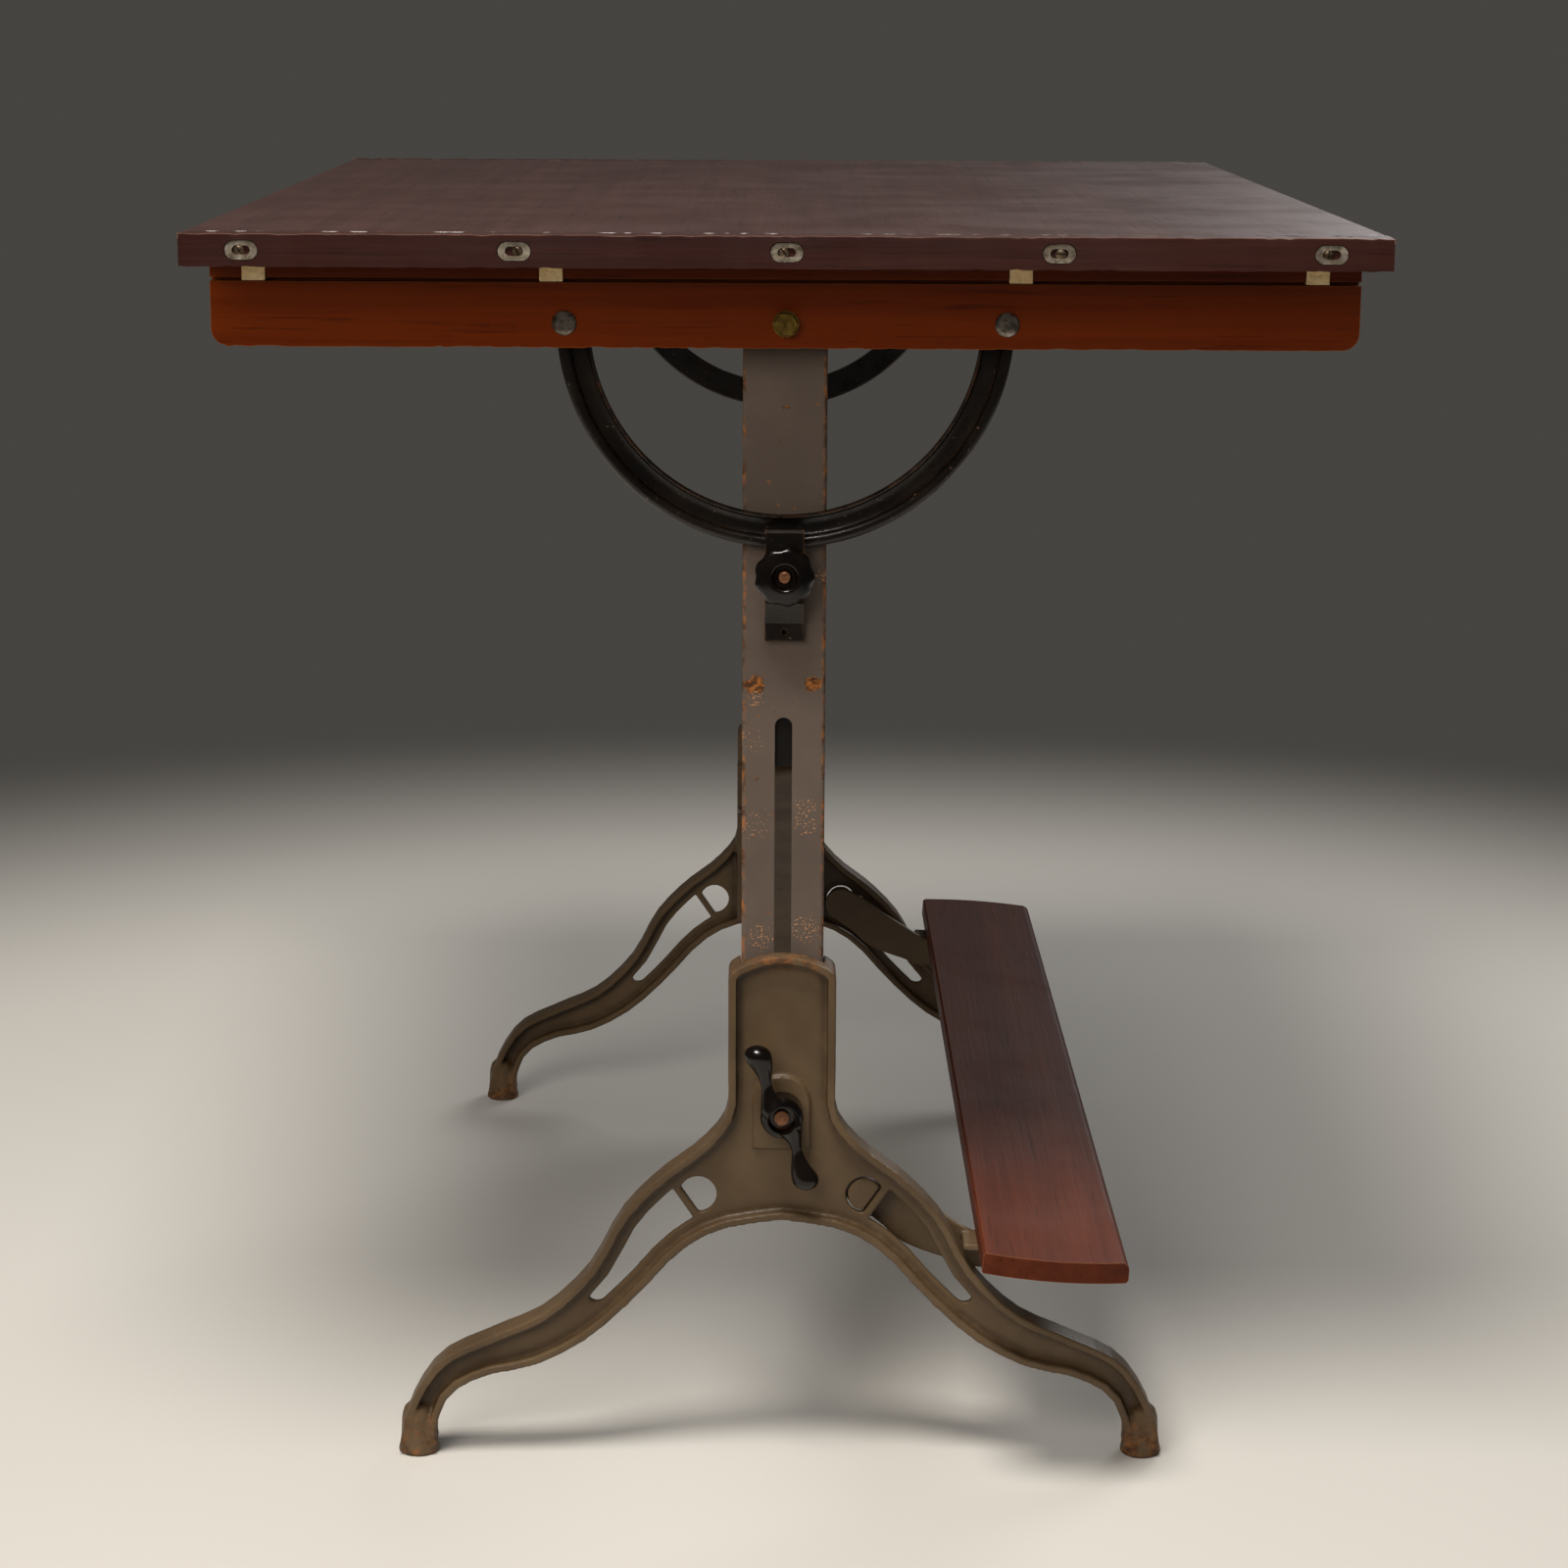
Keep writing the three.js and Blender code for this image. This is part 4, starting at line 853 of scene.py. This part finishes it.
def handle_arm():
    tip = HANDLE["arm"] + HANDLE["bulb"]
    bulb, neck = HANDLE["bulb"], HANDLE["neck"]
    shares = [(0.0125, 0), (0.0115, 0.15), (neck + 0.0024, 0.3), (neck, 0.44), (neck + 0.001, 0.55)]
    points = [(radius, share * tip) for radius, share in shares]
    points += [(0.8 * bulb, 0.7 * tip), (bulb, HANDLE["arm"]), (0.87 * bulb, HANDLE["arm"] + 0.5 * bulb)]
    points += [(0.5 * bulb, HANDLE["arm"] + 0.87 * bulb), (0.0002, tip)]
    turn = lambda along: -HANDLE["sway"] * math.sin(2 * math.pi * min(along / tip, 1.0))
    return swept(smooth_line(points, 4), 32, sway=turn)


def lock_handle():
    whole = bmesh.new()
    hub_points = [(0.0001, 0), (0.0165, 0), (HANDLE["hub"], 0.001), (HANDLE["hub"], 0.0185)]
    hub_points += [(0.016, 0.022), (0.0145, HUB_DEPTH)]
    parts = [(swept(hub_points + [(0.0001, HUB_DEPTH)], 48), facing_out(0, HUB_BACK, LOCK_Z))]
    for half in (0, 180):
        lean = Matrix.Rotation(math.radians(half - HANDLE["lean"]), 4, "Y")
        parts.append((handle_arm(), Matrix.Translation((0, -ARM_OUT, LOCK_Z)) @ lean))
    for part, place in parts:
        part.transform(place)
        step = bpy.data.meshes.new("part")
        part.to_mesh(step)
        part.free()
        whole.from_mesh(step)
        bpy.data.meshes.remove(step)
    piece = melted("lock_handle_front_finished", whole, handle_enamel, 0.0006, 14, 0.5)
    bore = swept([(0.0064, -0.03), (0.0064, 0.0), (0.0098, 0.0), (0.0118, 0.0075), (0.0118, 0.03)], 48)
    bore.transform(facing_out(0, HUB_BACK + HUB_DEPTH - 0.0075, LOCK_Z))
    boolean(piece, object_of("bore", bore, handle_enamel), "DIFFERENCE")
    shade(piece, 40)
    return piece


pair("lock_handle", lock_handle(), HALF_TURN, "black_enamel")

# %% [markdown]
# ## Plain hardware
# Straps, studs, nuts and plates only need their edges eased. A loop gives each one its own finish and
# keeps the list easy to read.

# %% Plain hardware
PLAIN = [
    ("clamp_strap", black_iron, "black_iron", 0.0008),
    ("clamp_stud", rusty_stud, "bolt_steel", 0.0004),
    ("lock_bolt", rusty_stud, "bolt_steel", 0.0007),
    ("clamp_plate", bolt_steel, "bolt_steel", 0.0008),
    ("pivot_bolt", zinc_yellow, "brass_plate", 0.0006),
    ("pivot_spacer", bolt_steel, "bolt_steel", 0.0005),
    ("pivot_nut", bolt_steel, "bolt_steel", 0.0006),
    ("stretcher_bolt_1", bolt_steel, "bolt_steel", 0.0005),
    ("stretcher_bolt_2", bolt_steel, "bolt_steel", 0.0005),
]
for stem, material, slot, width in PLAIN:
    for end in ENDS:
        rounded_copy(f"{stem}_{end}", material, slot, width, 2, 35)
for number in (1, 2, 3, 4):
    for end in ENDS:
        rounded_copy(f"board_clip_{number}_{end}", clip_brass, "brass_plate", 0.0004, 2, 35)
print("plain hardware:", 2 * len(PLAIN) + 8, "pieces")

# %% [markdown]
# ## Screws and bolts from one node tree
# Ten small plates, their screws, the rivets, and the bolts of the board all repeat. Each
# kind is one Geometry Nodes tree with its sizes as inputs: it builds the piece once and sets it on points.
# The points are the vertices of a small mesh, one at each place, and the tree turns each copy to face out
# of its own end of the table, which is the sign of its Y. A seed turns the driving slots at random, as
# they are on any real object.

# %% Node tree helpers
class Tree:
    """A Geometry Nodes tree under construction, with named inputs."""

    def __init__(self, name, sizes):
        self.tree = bpy.data.node_groups.new(name, "GeometryNodeTree")
        face = self.tree.interface
        face.new_socket("Places", in_out="INPUT", socket_type="NodeSocketGeometry")
        self.ids = {}
        for label, value in sizes.items():
            kind = {int: "NodeSocketInt", bool: "NodeSocketBool"}.get(type(value), "NodeSocketFloat")
            made = face.new_socket(label, in_out="INPUT", socket_type=kind)
            made.default_value = value
            self.ids[label] = made.identifier
        made = face.new_socket("Finish", in_out="INPUT", socket_type="NodeSocketMaterial")
        self.ids["Finish"] = made.identifier
        face.new_socket("Pieces", in_out="OUTPUT", socket_type="NodeSocketGeometry")
        self.inputs = self.tree.nodes.new("NodeGroupInput").outputs

    def node(self, kind, inputs=None, **settings):
        made = self.tree.nodes.new(kind)
        for key, value in settings.items():
            setattr(made, key, value)
        for key, value in (inputs or {}).items():
            if isinstance(value, bpy.types.NodeSocket):
                self.tree.links.new(value, made.inputs[key])
            else:
                made.inputs[key].default_value = value
        return made

    def maths(self, operation, first, second=0.0):
        return self.node("ShaderNodeMath", {0: first, 1: second}, operation=operation).outputs[0]

    def vector(self, x=0.0, y=0.0, z=0.0):
        return self.node("ShaderNodeCombineXYZ", {0: x, 1: y, 2: z}).outputs[0]

    def moved(self, geometry, place=None, scale=None):
        values = {"Geometry": geometry}
        if place is not None:
            values["Translation"] = place
        if scale is not None:
            values["Scale"] = scale
        return self.node("GeometryNodeTransform", values).outputs[0]

    def close(self, piece, spin=None):
        """Sets the piece on every place, facing out of its end, and ends the tree."""
        place = self.node("GeometryNodeInputPosition").outputs[0]
        y = self.node("ShaderNodeSeparateXYZ", {0: place}).outputs[1]
        values = {"Vector": self.vector(0.0, self.maths("SIGN", y), 0.0)}
        if spin is not None:
            values["Rotation"] = spin
        turn = self.node("FunctionNodeAlignRotationToVector", values, axis="Z", pivot_axis="AUTO").outputs[0]
        values = {"Points": self.inputs["Places"], "Instance": piece, "Rotation": turn}
        copies = self.node("GeometryNodeInstanceOnPoints", values)
        real = self.node("GeometryNodeRealizeInstances", {0: copies.outputs[0]})
        values = {"Geometry": real.outputs[0], "Material": self.inputs["Finish"]}
        done = self.node("GeometryNodeSetMaterial", values)
        end = self.tree.nodes.new("NodeGroupOutput")
        self.tree.links.new(done.outputs[0], end.inputs[0])
        print("tree:", self.tree.name, "with", len(self.tree.nodes), "nodes")
        return self


def scatter(tree, name, places, material, body, slot, replaced=(), **sizes):
    """Runs a tree on a list of places and keeps the plain mesh that comes out."""
    data = bpy.data.meshes.new(name)
    data.from_pydata([tuple(p) for p in places], [], [])
    piece = bpy.data.objects.new(name, data)
    scene_collection.objects.link(piece)
    run = piece.modifiers.new("pieces", "NODES")
    run.node_group = tree.tree
    for label, value in sizes.items():
        run[tree.ids[label.replace("_", " ")]] = value
    run[tree.ids["Finish"]] = material
    apply_modifiers(piece)
    shade(piece, 35)
    print(f"{name}: {len(places)} copies, {len(piece.data.polygons)} faces")
    return finish_piece(piece, body, slot, *replaced)


# %% [markdown]
# The head of a screw is the top of a flattened sphere. A box cuts the driving slot, and a second box takes
# away everything below the seat. Rivets and bolts are the same head without a slot. The shank is a plain
# cylinder.

# %% Domed heads
def domed_head_tree():
    tree = Tree("domed_heads", {
        "Head Width": 0.009, "Head Height": 0.002,
        "Slot Width": 0.0012, "Slot Depth": 0.0011, "Slotted": True,
        "Shank Width": 0.004, "Shank Length": 0.002, "Turn": 6.28, "Shift": 0.0, "Seed": 1,
    })
    size = tree.inputs
    ball = tree.node("GeometryNodeMeshUVSphere", {"Segments": 32, "Rings": 16, "Radius": 1.0}).outputs[0]
    half = tree.maths("MULTIPLY", size["Head Width"], 0.5)
    dome = tree.moved(ball, scale=tree.vector(half, half, size["Head Height"]))
    twice = tree.maths("MULTIPLY", size["Head Width"], 2.0)
    lid = tree.maths("MULTIPLY", size["Head Height"], 4.0)
    keep = tree.node("GeometryNodeMeshCube", {"Size": tree.vector(twice, twice, lid)}).outputs[0]
    keep = tree.moved(keep, tree.vector(0.0, 0.0, tree.maths("MULTIPLY", lid, 0.5)))
    head = tree.node("GeometryNodeMeshBoolean", {"Mesh 2": dome}, operation="INTERSECT", solver="EXACT")
    tree.tree.links.new(keep, head.inputs["Mesh 2"])
    across = tree.vector(twice, size["Slot Width"], lid)
    blade = tree.node("GeometryNodeMeshCube", {"Size": across}).outputs[0]
    floor = tree.maths("SUBTRACT", size["Head Height"], size["Slot Depth"])
    above = tree.maths("ADD", floor, tree.maths("MULTIPLY", lid, 0.5))
    blade = tree.moved(blade, tree.vector(0.0, 0.0, above))
    values = {"Mesh 1": head.outputs[0], "Mesh 2": blade}
    slotted = tree.node("GeometryNodeMeshBoolean", values, operation="DIFFERENCE", solver="EXACT")
    values = {"Switch": size["Slotted"], "False": head.outputs[0]}
    pick = tree.node("GeometryNodeSwitch", values, input_type="GEOMETRY")
    tree.tree.links.new(slotted.outputs[0], pick.inputs["True"])
    radius = tree.maths("MULTIPLY", size["Shank Width"], 0.5)
    values = {"Vertices": 24, "Radius": radius, "Depth": size["Shank Length"]}
    shank = tree.node("GeometryNodeMeshCylinder", values).outputs[0]
    drop = tree.maths("MULTIPLY", size["Shank Length"], -0.5)
    shank = tree.moved(shank, tree.vector(0.0, 0.0, tree.maths("SUBTRACT", drop, 0.00001)))
    whole = tree.node("GeometryNodeJoinGeometry", {0: pick.outputs[0]})
    tree.tree.links.new(shank, whole.inputs[0])
    values = {"Min": tree.vector(), "Max": tree.vector(0.0, 0.0, size["Turn"]), "Seed": size["Seed"]}
    spin = tree.node("FunctionNodeRandomValue", values, data_type="FLOAT_VECTOR").outputs[0]
    return tree.close(whole.outputs[0], spin)


domed_heads = domed_head_tree()

# %% Bolts and screws at their frame places
def seats(names, out_of):
    """The middle of each named node, at its seat: the place along Y that out_of picks from its box."""
    places = []
    for name in names:
        low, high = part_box(name)
        middle = (low + high) / 2
        places.append((middle.x, out_of(low, high), middle.z))
    return places


def outward_seat(head_height):
    """For a head on the outer face: its seat is one head height in from its furthest point."""
    return lambda low, high: low.y + head_height if low.y < 0 else high.y - head_height


ARC_DOME = 0.0035
arc_bolts = [f"arc_bolt_{n}_{end}" for n in (1, 2) for end in ENDS]
arc_bolt_seats = seats(arc_bolts, outward_seat(ARC_DOME))
scatter(
    domed_heads, "arc_bolts", arc_bolt_seats, bolt_steel, "board", "bolt_steel", arc_bolts,
    Head_Width=0.0194, Head_Height=ARC_DOME, Slotted=False, Shank_Width=0.008, Shank_Length=0.028, Seed=3,
)
RAIL_RIVET = 0.0004
LIFT = 0.0001
post_face = -post_low.y + LIFT
rivets = [(side * RIVET_X, end * post_face, RIVET_Z) for end in (-1, 1) for side in (-1, 1)]
scatter(
    domed_heads, "rail_rivets", rivets, post_paint, "mast", "post_paint",
    Head_Width=0.010, Head_Height=RAIL_RIVET, Slotted=False, Shank_Width=0.005, Shank_Length=0.003, Seed=5,
)

# %% [markdown]
# ## Slotted plates
# The cleats hold small oval plates in shallow pockets: the frame has the pockets, and the plates sit in
# them. A Fillet Curve node turns a rectangle into an oval, the same again makes the slot, and Fill Curve
# takes both at once and leaves the slot open. Extruding the flat shape and adding its back makes it solid.

# %% Slotted plates
def slotted_plate_tree():
    tree = Tree("slotted_plates", {
        "Length": 0.0246, "Height": 0.0142, "Thickness": 0.0016,
        "Slot Length": 0.0138, "Slot Height": 0.0068,
    })
    size = tree.inputs

    def oval(length, height):
        sides = {"Width": length, "Height": height}
        box = tree.node("GeometryNodeCurvePrimitiveQuadrilateral", sides).outputs[0]
        values = {"Curve": box, "Radius": tree.maths("MULTIPLY", height, 0.4999), "Count": 10}
        return tree.node("GeometryNodeFilletCurve", values, mode="POLY").outputs[0]

    both = tree.node("GeometryNodeJoinGeometry", {0: oval(size["Length"], size["Height"])})
    tree.tree.links.new(oval(size["Slot Length"], size["Slot Height"]), both.inputs[0])
    flat = tree.node("GeometryNodeFillCurve", {0: both.outputs[0]}, mode="TRIANGLES").outputs[0]
    values = {"Mesh": flat, "Offset Scale": size["Thickness"], "Individual": False}
    raised = tree.node("GeometryNodeExtrudeMesh", values).outputs[0]
    under = tree.node("GeometryNodeFlipFaces", {0: flat}).outputs[0]
    whole = tree.node("GeometryNodeJoinGeometry", {0: raised})
    tree.tree.links.new(under, whole.inputs[0])
    values = {"Geometry": whole.outputs[0], "Distance": 0.000001}
    return tree.close(tree.node("GeometryNodeMergeByDistance", values).outputs[0])


slotted_plates = slotted_plate_tree()
POCKETS, POCKET_PITCH, POCKET_DEPTH = 5, 0.205, 0.0024
cleat_low, cleat_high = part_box("end_cleat_front")
pocket_z = (cleat_low.z + cleat_high.z) / 2
pocket_floor = -cleat_low.y - POCKET_DEPTH + LIFT
pocket_places = [
    ((i - (POCKETS - 1) / 2) * POCKET_PITCH, end * pocket_floor, pocket_z)
    for end in (-1, 1) for i in range(POCKETS)
]
scatter(slotted_plates, "cleat_plates", pocket_places, plate_nickel, "board", "bolt_steel")
slip = random.Random(8)
plate_screws = [(x + slip.uniform(-0.0028, 0.0028), y, z) for x, y, z in pocket_places]
scatter(
    domed_heads, "cleat_plate_screws", plate_screws, screw_bronze, "board", "bolt_steel",
    Head_Width=0.0082, Head_Height=0.0022, Slot_Width=0.0011, Slot_Depth=0.0011, Shank_Width=0.004, Seed=11,
)
STRAP_SCREW_RISE = 0.007
strap_screw_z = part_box("clamp_strap_front")[0].z + STRAP_SCREW_RISE
strap_screws = [(0, end * post_face, strap_screw_z) for end in (-1, 1)]
scatter(
    domed_heads, "strap_screws", strap_screws, bolt_steel, "mast", "bolt_steel",
    Head_Width=0.0042, Head_Height=0.0022, Slot_Width=0.0008, Slot_Depth=0.0008, Shank_Width=0.003, Seed=17,
)

# %% [markdown]
# Two kinds of screw are left as the frame has them, with eased edges: those under the foot rest and those of
# the guide keepers. They face inwards or down, and only show from behind.

# %% Hidden screws
for stem in ("foot_rest_screw", "keeper_screw"):
    for number in (1, 2):
        for end in ENDS:
            rounded_copy(f"{stem}_{number}_{end}", bolt_steel, "bolt_steel", 0.0004, 2, 35)

# %% [markdown]
# ## Floor, light and surroundings
# The floor is plain and pale. It darkens far from the table into the same grey as the world behind, so that
# no horizon crosses the picture. The world shows that grey to the camera and to reflections, and gives
# a softer, brighter light to everything else: the Light Path node tells the two apart.
# Three lamps do the rest: a large soft one overhead and forward, as ceiling lamps are, a wide fill from
# the front left, and a weak one behind that draws the edges. The fill isn't seen in gloss, so that dark
# surfaces stay dark.

# %% Floor
BACKDROP = (0.062, 0.058, 0.052)
PALE_OUT_TO, DARK_FROM = 1.15, 2.6


def floor_finish():
    finish = Finish("floor_pale")
    far = finish.node("ShaderNodeVectorMath", {0: finish.place}, operation="LENGTH").outputs["Value"]
    finish.done((0.47, 0.452, 0.42), 0.85)
    haze = finish.node("ShaderNodeEmission", {"Color": BACKDROP}).outputs[0]
    share = finish.mask(far, PALE_OUT_TO, DARK_FROM)
    mix = finish.node("ShaderNodeMixShader", {0: share, 1: finish.shader.outputs[0], 2: haze})
    finish.tree.links.new(mix.outputs[0], finish.tree.nodes["Material Output"].inputs["Surface"])
    return finish.material


def add_floor(radius=14.0):
    mesh = bmesh.new()
    bmesh.ops.create_circle(mesh, cap_ends=True, segments=96, radius=radius)
    floor = object_of("floor", mesh, floor_finish())


add_floor()

# %% World and lamps
DAYLIGHT, DAYLIGHT_STRENGTH = (0.62, 0.61, 0.6), 0.36


def add_world():
    world = bpy.data.worlds.new("studio")
    world.use_nodes = True
    bpy.context.scene.world = world
    tree = world.node_tree
    light = tree.nodes["Background"]
    light.inputs["Color"].default_value = (*DAYLIGHT, 1)
    light.inputs["Strength"].default_value = DAYLIGHT_STRENGTH
    shown = tree.nodes.new("ShaderNodeBackground")
    shown.inputs["Color"].default_value = (*BACKDROP, 1)
    path = tree.nodes.new("ShaderNodeLightPath")
    either = path.outputs["Is Camera Ray"]
    for ray in ("Is Glossy Ray", "Is Transmission Ray"):
        most = tree.nodes.new("ShaderNodeMath")
        most.operation = "MAXIMUM"
        tree.links.new(either, most.inputs[0])
        tree.links.new(path.outputs[ray], most.inputs[1])
        either = most.outputs[0]
    mix = tree.nodes.new("ShaderNodeMixShader")
    tree.links.new(either, mix.inputs[0])
    tree.links.new(light.outputs[0], mix.inputs[1])
    tree.links.new(shown.outputs[0], mix.inputs[2])
    tree.links.new(mix.outputs[0], tree.nodes["World Output"].inputs["Surface"])


def add_lamp(name, place, target, size, watts, colour=(1, 1, 1), shines=True):
    """A round soft lamp. One that doesn't shine lights surfaces, but isn't seen in their gloss."""
    data = bpy.data.lights.new(name, "AREA")
    data.shape = "DISK"
    data.size = size
    data.energy = watts
    data.color = colour
    lamp = bpy.data.objects.new(name, data)
    lamp.visible_glossy = shines
    scene_collection.objects.link(lamp)
    way = Vector(target) - Vector(place)
    lamp.matrix_world = Matrix.Translation(place) @ way.to_track_quat("-Z", "Y").to_matrix().to_4x4()


add_world()
WARM = (1.0, 0.95, 0.88)
add_lamp("overhead", (-0.4, -1.4, 3.5), (0.0, -0.2, 0.5), 1.2, 150, WARM)
add_lamp("front_fill", (-1.3, -2.9, 2.0), (0.0, -0.4, 0.5), 1.8, 62, WARM, shines=False)
add_lamp("back_edge", (1.8, 3.0, 2.6), (0.0, 0.3, 0.6), 1.6, 50)
